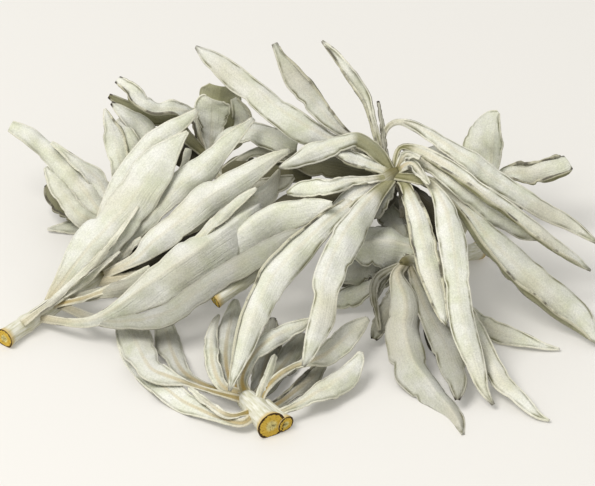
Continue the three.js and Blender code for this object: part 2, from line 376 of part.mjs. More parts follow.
const backRightStem = leafyStem('leafy_stem_back_right', [
  { route: [[50, 62, 2.1], [54, 70, 8.5], [58, 79, 17]], radius: 2.9, endRadius: 2.4 },
], [
  { route: [[57.5, 78, 16, 1], [59.5, 84, 22, 3.4], [61, 90.5, 27.5, 5.8], [61.2, 97.5, 34, 6.8],
    [62.3, 102.3, 38.5, 5.8], [64.3, 106.3, 42, 3.6], [66.5, 108.8, 44.5, 0.9]], fold: 22, curl: 12,
    rib: 0.5 },
  { route: [[57.5, 78, 16, 1], [63, 83.5, 20, 2.6], [68.3, 87.8, 23.5, 3.1], [73.6, 88.6, 25, 3.3],
    [78.3, 88.6, 26, 3.8], [83.6, 89.8, 27.5, 4.2], [87.8, 91, 28.8, 4], [90.3, 92.3, 29.5, 2.8]],
    wave: 1.8 },
  { route: [[57, 76, 14, 1], [67, 77, 12, 3.2], [80, 79, 10, 0.8]] },
]);

const group = new THREE.Group();
group.add(leftStem, frontStem, topStem, rightStem, backLeftStem, backMiddleStem, backRightStem);

export default group;
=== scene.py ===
import bpy
import numpy as np
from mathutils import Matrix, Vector


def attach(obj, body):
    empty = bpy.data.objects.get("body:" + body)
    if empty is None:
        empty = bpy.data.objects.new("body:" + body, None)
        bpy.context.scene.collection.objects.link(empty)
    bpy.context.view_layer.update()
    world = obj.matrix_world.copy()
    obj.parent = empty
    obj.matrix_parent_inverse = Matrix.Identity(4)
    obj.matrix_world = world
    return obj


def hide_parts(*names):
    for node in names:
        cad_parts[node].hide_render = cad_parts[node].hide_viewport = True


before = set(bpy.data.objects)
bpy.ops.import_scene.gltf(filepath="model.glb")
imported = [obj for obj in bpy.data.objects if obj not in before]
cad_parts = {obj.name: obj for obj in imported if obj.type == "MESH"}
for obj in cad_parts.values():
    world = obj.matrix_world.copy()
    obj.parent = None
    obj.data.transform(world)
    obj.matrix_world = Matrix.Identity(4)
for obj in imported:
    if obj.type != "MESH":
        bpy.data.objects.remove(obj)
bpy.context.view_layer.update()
print("frame loaded:", sorted(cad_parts))

mm = 0.001
lookDown = np.radians(35)  # how steeply the front view that places the leaves looks down on the heap
faceUp = np.radians(55)  # how steeply the upper face of an unrolled leaf looks up
heapMiddle = np.array([0.0, 71.4, 0.0])  # middle of the heap's outline, measured in that front view
tipHalf = 0.25  # half the width of the sharpest tip, in millimetres
bladeHalf = 0.3  # half the thickness of a blade
bladeRows = 72
bladeColumns = 26
stemSides = 40

# What a leaf has unless its stem's look or its own entry says otherwise. Angles are in degrees, the wave
# is in millimetres, rib moves the midrib to a side, rim is how far a margin rolls under, over is the share
# of a half blade that is folded back over itself, ragged is how deep the notches are, and oliveTo is how
# far along the blade its felt begins. Shade, tan, dried and lined are shares of a colour: shade is painted
# shade, which darkens a leaf by the dark colour, most for the dark leaves that fill the heap's deep gaps,
# and lined is the strength of a painted shade line inside the margin. A route point is across the front
# view, up the view, height above the surface, and half the width that shows there.
leafLook = {"fold": 10, "curl": 30, "roll": 0, "twist": 0, "rib": 0, "wave": 0.8, "waves": 2.5, "rim": 55,
            "overLeft": 0, "overRight": 0, "ragged": 0.09, "shade": 0, "tan": 0.4, "oliveTo": 0,
            "dried": 0, "lined": 1}

leftStem = {
    "node": "leafy_stem_left", "seed": 11, "look": {"lined": 0.3},
    "stems": [
        {"route": [[-98, 33, 3.1], [-85, 42, 3.4], [-74, 49, 6], [-65, 54.5, 9]], "radius": 3.3,
         "endRadius": 2.4},
    ],
    "leaves": [
        {"route": [[-75, 49, 6, 1], [-68, 66, 16, 3], [-60, 84, 27, 4], [-51.5, 96.5, 35, 3.8],
         [-45, 102, 39, 3], [-39.5, 105.5, 41.5, 2.2], [-34.5, 109.5, 43.5, 0.8]]},
        {"route": [[-84, 45, 5, 1], [-76.5, 55.5, 12, 4.1], [-69.5, 64.5, 19, 7.6], [-61.5, 73, 25, 7],
         [-54, 82.5, 32, 7.5], [-47.5, 91.5, 39, 6.2], [-42.5, 97, 43, 3.2], [-37.5, 102, 47, 0.6]],
         "fold": 6, "curl": 20},
        {"route": [[-67, 53, 8, 1], [-61.5, 60.8, 14, 1.6], [-55.5, 68.5, 19.5, 2.8], [-47, 77.5, 27, 3.6],
         [-40.5, 84, 32, 4.9], [-33, 89.5, 36.5, 4.4], [-28, 94.5, 40, 3.3], [-22, 100.5, 43.5, 2.4],
         [-15.5, 106.5, 47, 0.8]]},
        {"route": [[-68, 53, 8, 1], [-55.5, 59, 16, 2], [-49.5, 64.5, 21.5, 4], [-44, 69, 25.5, 4.9],
         [-36, 75, 30, 4.9], [-30, 80.5, 33, 5.4], [-23, 84.5, 36, 4.9], [-15, 89.5, 39, 3.4],
         [-9, 93.3, 41.5, 1.9], [-3.5, 95.7, 43, 0.8]], "fold": 14},
        {"route": [[-87, 40, 4, 0.9], [-73, 38.5, 8, 1.3], [-64, 41, 12, 2.2], [-53, 47.5, 17.5, 4.7],
         [-42.5, 54, 22, 7.2], [-33, 60, 26, 8.6], [-26.5, 65.5, 28.5, 7.3], [-22, 70, 30, 3.8],
         [-17.5, 74, 31, 3.2], [-13, 77.7, 31.5, 0.9]], "fold": 38, "curl": 6, "rib": -0.3,
         "shade": -0.12},
        {"route": [[-40, 60, 24, 0.7], [-28, 72, 31, 1.7], [-20, 79, 35, 1.4], [-14.5, 83, 38, 0.5]]},
        {"route": [[-80, 44, 5, 1], [-63, 38.8, 10, 2], [-46, 41, 14.5, 4], [-36, 47, 18.3, 3.9],
         [-28, 52.8, 22, 3.6], [-19, 58, 25.8, 4.2], [-10.5, 62.7, 29, 3.8], [-4, 67, 32, 2.5],
         [1, 69, 33.5, 0.8]], "roll": 8, "shade": -0.45},
        {"route": [[-68, 52, 8, 1], [-50, 54, 12, 2.5], [-33, 58, 18, 4], [-20, 66, 26, 4.7],
         [-9, 73.5, 33.5, 4.8], [0.5, 76.3, 38.5, 3.7], [6, 77.6, 41.3, 2], [10.5, 78, 43.2, 0.6]],
         "rib": -0.5, "fold": 22},
        {"route": [[-77, 46, 6, 0.9], [-63, 49, 12, 2.3], [-56, 51.5, 15.5, 2], [-51, 54, 18, 0.6]],
         "shade": -0.4},
        {"route": [[-66, 54, 9, 1.1], [-58, 62, 15, 1.2], [-53, 66.5, 19, 0.5]], "tan": 0.8},
        {"route": [[-67, 53, 8, 1], [-62, 64, 16, 3.2], [-52, 76, 24, 4.4], [-41, 87, 28, 1]],
         "shade": -0.7},
        {"route": [[-68, 52, 7, 1], [-50, 60, 9, 4], [-32, 67, 11, 4.2], [-14, 72, 11, 0.8]], "roll": 10,
         "shade": -0.7},
        {"route": [[-66, 53, 8, 0.8], [-45, 66, 18, 1.5], [-25, 76, 25, 2.5], [-12, 82.5, 30, 3.4],
         [-7, 89.5, 33, 0.6]], "fold": 38, "tan": 0.7},
        {"route": [[-50, 78, 24.8, 1.2], [-43, 85, 28.5, 1], [-39, 90.5, 32, 1], [-37.5, 96.5, 36.5, 1]],
         "curl": 70, "shade": -0.1},
        {"route": [[-94, 37, 5, 0.8], [-80, 46, 8.5, 0.9], [-70, 53.5, 12, 1], [-60, 62, 17, 0.5]],
         "tan": 0.5},
        {"route": [[-82, 44, 6, 0.8], [-70, 47, 9.5, 1], [-60, 51, 13, 1.2], [-50, 57, 17, 0.5]],
         "tan": 0.9},
        {"route": [[-92, 38, 6, 0.9], [-79, 48.5, 11, 1], [-70, 57, 16, 1], [-61, 67, 22, 0.8],
         [-54, 77, 28, 0.4]], "tan": 0.3},
        {"route": [[-66, 53, 6, 1], [-50, 63, 12, 3.4], [-34, 74, 17, 4], [-22, 82, 20, 1]], "shade": -1},
        {"route": [[-66, 52, 6, 1], [-46, 58, 11, 3.6], [-26, 66, 16, 4.4], [-8, 73, 18, 1]], "shade": -1},
    ],
}

frontStem = {
    "node": "leafy_stem_front", "seed": 12, "look": {"lined": 0.6, "tan": 1},
    "stems": [
        {"route": [[-9.3, 5.1, 4.2], [-14, 10, 4.1], [-18.5, 14.5, 4.1]], "radius": 4.7, "endRadius": 3.4},
        {"route": [[-4.6, 5.5, 2.8], [-9.5, 9.5, 3.4], [-16, 14, 4]], "radius": 2.9, "endRadius": 2.8},
    ],
    "leaves": [
        {"route": [[-14, 10, 4.5, 1.2], [-19, 6, 3.8, 1.2], [-28, 8.3, 3.2, 2], [-37.5, 12.5, 2.9, 3.6],
         [-45, 17.5, 2.6, 4.3], [-51.5, 23.5, 2.4, 4.2], [-56.5, 30, 2.3, 3.4], [-60, 36, 2.4, 1.2]],
         "fold": 6, "curl": 12, "tan": 0.8},
        {"route": [[-17, 13, 5, 1.2], [-28.5, 16, 6.8, 0.9], [-37.5, 19, 7, 1.1], [-44, 21.3, 6.8, 2.8],
         [-49.2, 23.7, 6.4, 4.3], [-52.3, 28.3, 5.8, 5.2], [-54.8, 33.2, 5.2, 5.6], [-57, 37.2, 4.8, 4.8],
         [-59, 40.5, 4.5, 2]], "curl": 14, "tan": 0.9, "shade": -0.12},
        {"route": [[-18, 14, 5, 1], [-28, 17, 4.6, 1], [-36, 20.5, 4.2, 1.4], [-40, 24.5, 3.9, 2.8],
         [-42.5, 29.5, 3.6, 3.8], [-44, 34, 3.4, 4], [-46, 39, 3.2, 2.5], [-47.5, 42, 3, 0.8]], "curl": 20,
         "shade": -0.4},
        {"route": [[-19, 15, 5, 1.2], [-25.5, 18, 7, 1.6], [-28.5, 24.5, 8.5, 2.3], [-29.3, 31.5, 8, 2.3],
         [-28.6, 37.5, 7, 1.2], [-27, 41, 6, 0.5]], "tan": 0.7},
        {"route": [[-19, 15, 5, 1.2], [-23, 20, 5.5, 2], [-24.5, 27, 6, 3.2], [-24, 34, 6, 3.8],
         [-22.5, 41, 5, 3], [-21.5, 46, 4.5, 1]], "shade": -0.3},
        {"route": [[-17, 14, 5, 1.4], [-19, 19.5, 8, 1.6], [-17, 25.5, 10.5, 2.1], [-12.8, 30.8, 12.5, 2.8],
         [-6.5, 35, 13.8, 2.9], [-1, 37.3, 14.3, 2.3], [4, 39.5, 14.5, 0.9]], "tan": 1},
        {"route": [[-16, 13, 5, 1], [-11, 18, 4.8, 2.4], [-6, 24, 5, 3.6], [-2, 30, 5.2, 3.4],
         [1, 35, 5.5, 1]], "shade": -0.6, "dried": 1, "ragged": 0.16},
        {"route": [[-14.5, 10.5, 6, 1.2], [-12.5, 17, 9, 1.1], [-10.3, 22.8, 11.5, 1.1],
         [-8.3, 28.3, 13.5, 0.9]], "fold": 40, "tan": 0.6},
        {"route": [[-14, 10, 5, 1.3], [-12, 16, 8, 1.2], [-7.5, 21, 9.5, 1.1], [-3, 23.8, 10.2, 1.1],
         [2.8, 25.8, 10.8, 1.6], [8.7, 28.5, 11.3, 3.2], [13.7, 32.5, 11.8, 4.2], [18, 36.5, 12, 3.2],
         [22.5, 40, 12.2, 1]], "tan": 1},
        {"route": [[-11, 7, 4, 1.4], [-7.5, 8.9, 5, 1.1], [-0.5, 12.3, 6.2, 1.5], [5.5, 15.8, 7, 3.2],
         [10.5, 18.8, 7.4, 4.1], [15, 21.8, 7.8, 4], [18.5, 25.5, 8.3, 2.4], [20, 29, 8.8, 0.8]],
         "roll": 8, "tan": 0.6},
        {"route": [[-15, 10, 5, 1], [-22, 8.5, 6, 0.9], [-28, 11, 6.4, 1.2], [-36.5, 17.5, 6.6, 0.6]],
         "tan": 1},
        {"route": [[-15, 12, 4.5, 1], [-12, 22, 3.6, 3.6], [-10, 31, 3.4, 4], [-9, 40, 3.2, 1]],
         "shade": -0.55, "dried": 1, "overRight": 0.4},
        {"route": [[-12, 9, 4, 1], [-3, 15, 4.2, 2], [4, 21, 4.4, 2.6], [9, 27, 4.6, 1]], "shade": -0.6,
         "dried": 1, "overLeft": 0.5},
    ],
}

topStem = {
    "node": "leafy_stem_top", "seed": 13, "look": {"oliveTo": 0.14, "dried": 0.5},
    "stems": [
        {"route": [[-28.3, 45.7, 15], [-5, 62, 24], [15, 76, 35], [32.5, 89, 45]], "radius": 2.7,
         "endRadius": 2.9},
    ],
    "leaves": [
        {"route": [[28, 87, 42.5, 1], [16.5, 95.5, 48, 2], [7.5, 100, 51.5, 3.3], [0.5, 103.5, 54, 4.2],
         [-6.5, 108, 56.5, 4.3], [-13, 113.3, 58.5, 4.2], [-18.5, 118, 60.5, 4], [-24.5, 123, 62.3, 3.6],
         [-30, 127, 63.5, 2.6], [-35, 130.7, 64.5, 0.5]], "fold": 14, "rib": 0.25, "shade": -0.14},
        {"route": [[28.5, 87, 43, 0.9], [20, 97, 50, 1.2], [14, 102, 54, 1.6], [9.5, 106, 57, 2.7],
         [5, 111.5, 60.5, 3.5], [0.5, 117, 64.5, 3.7], [-3.5, 122.5, 68.5, 2.8], [-6.5, 127, 72, 1.5],
         [-8.5, 131.3, 75, 1]], "overRight": 0.3, "ragged": 0.12, "shade": -0.3},
        {"route": [[29, 87, 43, 0.9], [25.8, 99, 50, 0.9], [24.2, 105.5, 55, 1.2], [22.3, 112, 60, 1.6],
         [19, 117.3, 65, 1.8], [15.3, 122.6, 70, 1.7], [11.2, 128, 74, 1.1], [7.3, 132, 77, 0.4]],
         "roll": 20, "overLeft": 0.8},
        {"route": [[30, 87, 43, 0.8], [27.5, 98, 50, 0.8], [29, 103.3, 55, 0.8], [33, 105.2, 57, 0.9],
         [38.5, 103.7, 56.5, 1.6], [44.5, 100.3, 54.5, 2.3], [50, 96.5, 52.5, 2.9], [57, 92, 49, 3.3],
         [63.5, 87, 44.5, 3.5], [70.5, 82.5, 40, 3.4], [77, 78.5, 35.5, 3.3], [83.5, 75, 31, 2.9],
         [90.5, 71, 26, 2.1], [99.5, 64.5, 20, 0.5]]},
        {"route": [[31, 88, 44, 0.7], [33, 96, 49.5, 0.7], [39, 95.8, 50, 1.5], [45, 92.7, 50, 2.2],
         [51, 89, 48.5, 2.5], [57, 84.6, 46, 2.6], [62.5, 80.3, 43, 2.5], [68.5, 76.5, 39, 2.3],
         [74, 72.3, 34.5, 2.3], [80.5, 67.5, 29.5, 2.6], [87, 62.6, 23.5, 2.2], [92.5, 58.8, 18.5, 1.4],
         [96.8, 55.5, 14, 0.4]], "overRight": 0.7},
        {"route": [[31.5, 88, 44, 0.7], [35, 94.5, 48.5, 1], [40.5, 92.7, 49, 1.9], [46.5, 88.9, 47, 2.4],
         [52, 84.5, 44.5, 2.6], [58, 79.8, 40.5, 2.5], [63.5, 75.5, 36.5, 2.4], [69.5, 71.7, 32, 1.8],
         [74.5, 68.7, 28.5, 1.7], [79.5, 66.3, 25, 0.7]], "fold": 24, "curl": 60},
        {"route": [[31, 87, 44, 1], [39, 86, 44, 1.6], [46, 83.5, 41.5, 2], [51, 80.5, 39, 2.6],
         [57, 74, 34.5, 3.8], [63, 66, 29, 4.5], [72, 57.5, 22, 5.3], [79.5, 51, 16.5, 5.6],
         [87, 44.8, 11, 5.5], [93, 39.5, 7, 4.1], [99.3, 31, 2.6, 0.6]], "overRight": 0.55,
         "shade": -0.12},
        {"route": [[31, 87, 43, 0.8], [34.5, 84.5, 42.5, 1.5], [37, 79, 40, 2.7], [39, 73.3, 38, 3.6],
         [40.3, 67.3, 35.5, 4.3], [41.5, 61.5, 32.5, 3.9], [43, 55, 28.5, 3.7], [44.7, 49, 25, 3.1],
         [46.3, 43, 21.5, 2], [48, 37.7, 19, 0.6]], "overRight": 0.22, "overLeft": 0.2},
        {"route": [[32, 88, 44, 0.8], [39, 87, 44, 1], [44, 83.5, 43.5, 1.5], [48, 76.5, 41.5, 3.4],
         [50, 67.3, 38, 4.5], [51, 59, 34, 4.4], [52, 50.5, 29.5, 4], [53, 42.3, 24, 4],
         [54.3, 35.5, 19, 4], [56.3, 29, 14.5, 3.6], [58.3, 22.3, 9.5, 2.7], [60.3, 16.5, 5.5, 1.4],
         [63.3, 11.8, 2.5, 0.5]]},
        {"route": [[31, 88, 44, 0.9], [26, 94.5, 51, 2.4], [20, 99.3, 56.5, 2.4], [14.5, 98.8, 57, 2.4],
         [9, 97.3, 55, 3.3], [2.8, 94.8, 51.5, 3.3], [-2.7, 92, 48, 2], [-7, 89.8, 45.5, 0.5]], "fold": 26,
         "oliveTo": 0.4, "shade": -0.08},
        {"route": [[31, 88, 44.5, 0.8], [25, 90.3, 47.5, 1.9], [19, 92.3, 50, 2.5], [14.5, 94, 52, 2],
         [10.3, 96, 53, 0.6]], "overLeft": 0.3},
        {"route": [[30, 87, 44, 0.9], [24, 86, 45.5, 1.2], [16.5, 85.3, 46, 1.8], [10, 83.5, 45.5, 2.4],
         [4.8, 83.2, 44.5, 3.1], [0.5, 83, 43, 2.6], [-4.5, 81.3, 41, 0.7]], "wave": 1.4, "waves": 2},
        {"route": [[31, 87.5, 44, 0.9], [27, 85.7, 44, 1.4], [22, 83.3, 43, 2.2], [16.7, 80, 40.5, 3],
         [13, 76.5, 38, 3], [10.3, 72, 35, 2.2], [8.7, 67, 32, 0.6]], "overLeft": 0.35},
        {"route": [[31.5, 87, 43.5, 0.9], [25.5, 81, 42.5, 2.6], [20, 74, 40.5, 4.2], [15, 66, 37.5, 5],
         [11.5, 58.5, 33.5, 5], [9, 52.3, 30, 4.8], [8.3, 47.3, 27, 3.7], [7.2, 40.8, 23.5, 3.9],
         [5, 34.7, 20, 3.1], [3, 29, 17, 1.9], [1, 24.5, 14.5, 0.5]], "rib": 0.3, "fold": 16,
         "shade": -0.08},
        {"route": [[29, 86, 43, 0.9], [20.5, 80.5, 40.5, 1.8], [11.5, 74, 37.5, 3], [5, 68.3, 35, 4.1],
         [-2.5, 61, 31, 4.8], [-8.5, 54.5, 27.5, 5.1], [-13.2, 46, 23.5, 4.7], [-16.2, 38.3, 20, 4.2],
         [-18.7, 30.7, 17, 3.2], [-21, 23, 14, 1.8], [-23, 16.5, 12, 0.5]], "overRight": 0.25},
        {"route": [[29, 86, 42, 1], [14, 81.5, 36, 4.2], [0, 79, 30, 5.2], [-9, 76, 27, 2]], "shade": -0.85,
         "oliveTo": 1.1},
        {"route": [[31, 86, 43, 1], [28, 80, 37, 3.4], [24, 73, 31, 0.8]], "shade": -0.9},
        {"route": [[30, 86, 42, 1], [18, 89, 39, 3.4], [6, 91, 36.5, 3.8], [-5, 92.5, 34, 0.8]],
         "shade": -0.75, "oliveTo": 1.1},
        {"route": [[32, 86, 42, 1], [40, 92, 40, 3.4], [48, 96, 32, 3.8], [56, 94, 22, 0.8]],
         "shade": -0.5},
        {"route": [[32, 86, 43, 1], [36, 80, 38, 3], [34, 73, 35, 0.8]], "shade": -0.9},
        {"route": [[32, 88.5, 44.5, 0.8], [37, 91, 49, 1.7], [43, 84, 46, 0.5]], "tan": 0.8},
        {"route": [[32, 88.5, 44.5, 0.8], [35, 94, 51, 1.4], [40, 93, 52, 0.5]], "tan": 0.8},
        {"route": [[30, 88, 44, 0.6], [28, 98, 51, 0.6], [27.2, 105, 56, 0.6], [26, 112, 60, 0.4]],
         "shade": -0.45, "dried": 1},
        {"route": [[31, 86, 43, 1], [27.5, 79, 39, 2.4], [25, 73, 35, 0.8]], "shade": -0.6, "tan": 1,
         "rib": 0.3},
        {"route": [[31, 86, 42, 1], [44, 76, 34, 3.6], [50, 66, 26, 4], [54, 58, 20, 1]], "shade": -1},
    ],
}

rightStem = {
    "node": "leafy_stem_right", "seed": 14,
    "stems": [
        {"route": [[60, 62, 2.2], [47, 60, 14], [33.5, 58.3, 25]], "radius": 3, "endRadius": 2},
    ],
    "leaves": [
        {"route": [[35, 58.5, 24, 0.9], [32, 54.5, 23.5, 2], [34, 47.6, 21, 4.2], [34.5, 42.2, 18.5, 4.6],
         [33.7, 37.8, 16, 5.5], [35.2, 30.2, 12.5, 5.7], [37.8, 24.4, 9.8, 5.3], [41.3, 19.9, 7.6, 4.7],
         [44.5, 15.4, 5.4, 4.6], [48.8, 10.8, 3.4, 3.1], [51.5, 6.5, 2, 1.6], [53, 2.7, 1, 0.5]],
         "wave": 1.4, "waves": 3, "fold": 42, "rib": -0.1, "ragged": 0.14, "shade": -0.25},
        {"route": [[36, 58.5, 23, 0.8], [42, 42, 16.5, 3], [47, 33, 12.5, 4.2], [49.5, 26, 10, 4.4],
         [51.5, 19.5, 7.5, 3], [51.5, 13.5, 5, 0.7]], "shade": -0.5, "dried": 0.8},
        {"route": [[38, 58, 22, 1], [39, 62, 25, 3], [34, 64.5, 27.5, 6.4], [27, 65.5, 28.5, 7.4],
         [19.5, 65, 28, 5.6], [14, 64, 27, 1.4]], "fold": 38, "curl": 20, "wave": 1.6, "shade": -0.15},
        {"route": [[46, 60, 15, 0.9], [50, 49, 10.5, 2.4], [57, 40.5, 6.5, 3.2], [64, 36.3, 4.6, 3.5],
         [69.5, 34.3, 3.7, 3.2], [75, 32.3, 2.7, 2.3], [80.7, 30.5, 1.8, 1.2], [86, 29.5, 1, 0.4]],
         "curl": 16},
        {"route": [[44, 59.7, 16, 0.9], [51, 49, 15, 2.2], [56, 40, 13, 3], [59.5, 32.3, 10.8, 3.2],
         [62.8, 25.2, 8.3, 3.4], [66.2, 19.8, 6.3, 3.3], [70.3, 15.8, 4.6, 2.8], [74.3, 11.7, 3, 2],
         [77.8, 8.4, 1.8, 1.1], [81.5, 6.6, 1, 0.4]], "curl": 20},
        {"route": [[36, 58.5, 23, 1], [25, 52, 17, 1.3], [26.3, 35.7, 6, 0.5]], "shade": -0.5},
        {"route": [[36, 58.5, 23, 1], [29, 54, 18, 1.3], [24.7, 45.3, 10, 0.5]], "shade": -0.5},
        {"route": [[36, 58.5, 23, 1], [28, 52, 14, 1.6], [20, 49, 9, 3.2], [14, 46.5, 6, 3.4],
         [10, 44, 4.5, 1]], "shade": -0.15},
        {"route": [[36, 58.5, 23, 1], [37, 67, 26, 1.8], [34, 75, 29, 3], [29.5, 79.5, 31, 2.4],
         [25, 81, 32, 0.7]], "shade": -0.75},
        {"route": [[36, 58.5, 23, 1], [28, 58, 14, 3.4], [21, 55, 9, 4.2], [12, 51, 5.5, 1]],
         "shade": -0.8},
        {"route": [[36, 58.5, 23, 1], [32.5, 48, 14, 3.4], [28, 40, 7, 3.6], [24.5, 33, 4, 1]],
         "shade": -0.5, "dried": 1, "ragged": 0.2},
        {"route": [[38, 58.5, 21, 1], [43, 42, 10, 3], [46, 32, 5.5, 3.6], [49, 23, 2.6, 0.8]],
         "shade": -1},
        {"route": [[37, 58.5, 22, 1], [29, 59, 18.5, 3], [21, 56.5, 15, 4.6], [12, 52, 12, 1]],
         "shade": -0.45, "dried": 1, "wave": 2, "ragged": 0.2},
        {"route": [[37, 58.5, 22, 1], [34, 66, 26, 3], [30, 73, 29.5, 4], [27.5, 80, 33, 1]], "shade": -0.6,
         "dried": 1, "wave": 2, "ragged": 0.2},
    ],
}

backLeftStem = {
    "node": "leafy_stem_back_left", "seed": 15, "look": {"lined": 0.5},
    "stems": [
        {"route": [[-42, 60, 2.5], [-51, 66, 5.5], [-60, 72.5, 10]], "radius": 2.9, "endRadius": 2.4},
    ],
    "leaves": [
        {"route": [[-59, 71.5, 9, 1], [-67, 75, 12, 3.4], [-73, 83, 17, 5.2], [-79, 90, 21.5, 3.8],
         [-85.5, 96.5, 25.5, 2.8], [-92, 101.5, 29, 2.6], [-98, 104.5, 31, 2]], "curl": 75},
        {"route": [[-60, 72, 9, 1], [-69, 72, 11, 2.8], [-75, 75, 13.5, 3.2], [-79.5, 81, 16, 3.1],
         [-83, 86, 18, 2.6], [-86, 90.5, 19.5, 0.9]], "shade": -0.1},
        {"route": [[-60, 72, 8, 1], [-70, 72.5, 8, 2.4], [-78, 76, 8.5, 3.4], [-83.5, 80.5, 9.5, 2.8],
         [-86, 84.5, 10.5, 0.8]], "shade": -0.45, "dried": 1, "oliveTo": 1.1, "ragged": 0.2,
         "overRight": 0.5, "overLeft": 0.3},
        {"route": [[-58, 71, 8, 1], [-67, 70, 4.5, 2.6], [-76, 70.3, 2.7, 2.5], [-85.5, 69.3, 1.2, 0.5]],
         "curl": 12, "shade": -0.15},
        {"route": [[-59, 71.5, 9, 1], [-58, 79, 16, 2.6], [-59.5, 88, 25, 3.4], [-61, 94, 30, 3.5],
         [-62.5, 100.5, 34.5, 3.5], [-64.3, 105.5, 38.5, 1.9], [-65.8, 110, 42, 0.4]], "overRight": 0.3},
        {"route": [[-57, 70, 8, 1], [-51, 84, 20, 3], [-49, 95, 29, 3.6], [-51, 100.5, 33.5, 3.8],
         [-54, 105, 37.5, 3.6], [-59, 108.5, 41, 2.2], [-63.5, 112, 43.5, 0.6]], "dried": 1,
         "shade": -0.05},
        {"route": [[-58, 71, 8, 1], [-54, 82, 18, 2.4], [-55, 94, 29, 2.6], [-57.5, 101.5, 35, 2],
         [-61.5, 106.5, 38.5, 0.6]]},
        {"route": [[-60, 72, 8.5, 1], [-65, 80, 14, 2.4], [-68.5, 86.5, 19, 3.4], [-74, 91, 23, 2],
         [-79, 95, 26, 1.1], [-84, 98.8, 28.5, 0.6]]},
    ],
}

backMiddleStem = {
    "node": "leafy_stem_back_middle", "seed": 16,
    "stems": [
        {"route": [[-12, 66, 2.1], [-22, 80, 13], [-32, 95, 26]], "radius": 2.8, "endRadius": 2.2},
    ],
    "leaves": [
        {"route": [[-32, 95, 25, 1], [-35, 107, 36, 2.8], [-41, 109.8, 41, 3], [-48, 110, 43, 2.6],
         [-54, 113.5, 47, 2.8], [-58, 117.5, 50, 2.2], [-61.5, 120, 51, 1.4]], "wave": 1.6,
         "overLeft": 0.4, "ragged": 0.24, "dried": 1},
        {"route": [[-31.3, 94, 25.4, 1.2], [-42, 104, 33.5, 2.4], [-51, 107.8, 36.5, 2.4],
         [-58, 111, 39, 1.8], [-64.5, 114.5, 42, 0.8]], "shade": -0.3, "dried": 1, "oliveTo": 1.1,
         "ragged": 0.2},
        {"route": [[-30, 92, 22, 1], [-30, 98, 29, 2.4], [-29.7, 104, 35.5, 4.4], [-29.5, 109, 41, 6],
         [-29.3, 111.5, 44, 5.6], [-29, 113, 46, 3.4]], "curl": 16, "fold": 4, "shade": 0.05},
        {"route": [[-31, 93, 23, 1], [-26, 100, 33, 3.2], [-17, 102.5, 38.5, 3.6], [-9, 100.5, 40, 3.8],
         [-3.5, 98.5, 40, 3.6], [-0.8, 97.8, 39.8, 2]], "curl": 55},
        {"route": [[-28, 88, 20, 1], [-20, 91, 26, 4.2], [-8, 89, 28, 4.6], [4, 87, 28, 1]], "shade": -0.75,
         "oliveTo": 1.1},
        {"route": [[-28, 88, 20, 1], [-16, 95, 30, 1.6], [-7, 94.5, 33, 2.4], [0.5, 91, 33, 0.8]],
         "shade": -0.3},
        {"route": [[-28, 88, 20, 1], [-19, 84, 24, 2.2], [-8, 84.5, 29, 3], [-2, 87, 31, 0.8]],
         "shade": -0.35},
        {"route": [[-25, 84, 16, 1], [-30, 76, 12, 3], [-40, 78, 8, 0.8]], "shade": -0.6},
        {"route": [[-30, 92, 20, 1], [-29, 102, 31.5, 5], [-28, 108, 37.5, 6.6], [-27, 113.5, 42.5, 6.8],
         [-26.5, 117.5, 46.5, 4]], "shade": -0.05, "curl": 40, "oliveTo": 1.1},
        {"route": [[-30, 92, 21, 1], [-22, 101, 31, 3.6], [-19.5, 107, 37, 3.2], [-22.5, 113.5, 42.5, 1]],
         "overRight": 0.3},
        {"route": [[-30, 90, 22, 1], [-38, 94, 24, 4], [-43, 100, 27, 4.6], [-46, 107, 31, 1]],
         "shade": -1},
    ],
}

backRightStem = {
    "node": "leafy_stem_back_right", "seed": 17,
    "stems": [
        {"route": [[50, 62, 2.1], [54, 70, 8.5], [58, 79, 17]], "radius": 2.9, "endRadius": 2.4},
    ],
    "leaves": [
        {"route": [[57.5, 78, 16, 1], [59.5, 84, 22, 3.4], [61, 90.5, 27.5, 5.8], [61.2, 97.5, 34, 6.8],
         [62.3, 102.3, 38.5, 5.8], [64.3, 106.3, 42, 3.6], [66.5, 108.8, 44.5, 0.9]], "rib": 0.5,
         "fold": 22, "curl": 12, "ragged": 0.04},
        {"route": [[57.5, 78, 16, 1], [63, 83.5, 20, 2.6], [68.3, 87.8, 23.5, 3.1], [73.6, 88.6, 25, 3.3],
         [78.3, 88.6, 26, 3.8], [83.6, 89.8, 27.5, 4.2], [87.8, 91, 28.8, 4], [90.3, 92.3, 29.5, 2.8]],
         "wave": 1.8, "ragged": 0.2, "overLeft": 0.3, "overRight": 0.3, "dried": 1},
        {"route": [[57, 76, 14, 1], [67, 77, 12, 3.2], [80, 79, 10, 0.8]], "shade": -0.4},
    ],
}


# An sRGB hex colour as linear red, green, blue and alpha: c / 12.92 for a dark channel c, and
# ((c + 0.055) / 1.055)^2.4 for the others.
def linearColour(hexColour):
    channels = np.array([int(hexColour[i:i + 2], 16) for i in (1, 3, 5)]) / 255
    linear = np.where(channels <= 0.04045, channels / 12.92, ((channels + 0.055) / 1.055) ** 2.4)
    return (*linear, 1.0)


# Adds a node with its settings, values and links. A link is a (node, output) pair, and i6 is input 6.
def addNode(tree, kind, settings=None, **inputs):
    node = tree.nodes.new(kind)
    for name, value in (settings or {}).items():
        setattr(node, name, value)
    for name, value in inputs.items():
        socket = node.inputs[int(name[1:])] if name[0] == "i" and name[1:].isdigit() else node.inputs[name]
        if isinstance(value, tuple) and isinstance(value[0], bpy.types.Node):
            tree.links.new(value[0].outputs[value[1]], socket)
        else:
            socket.default_value = value
    return node


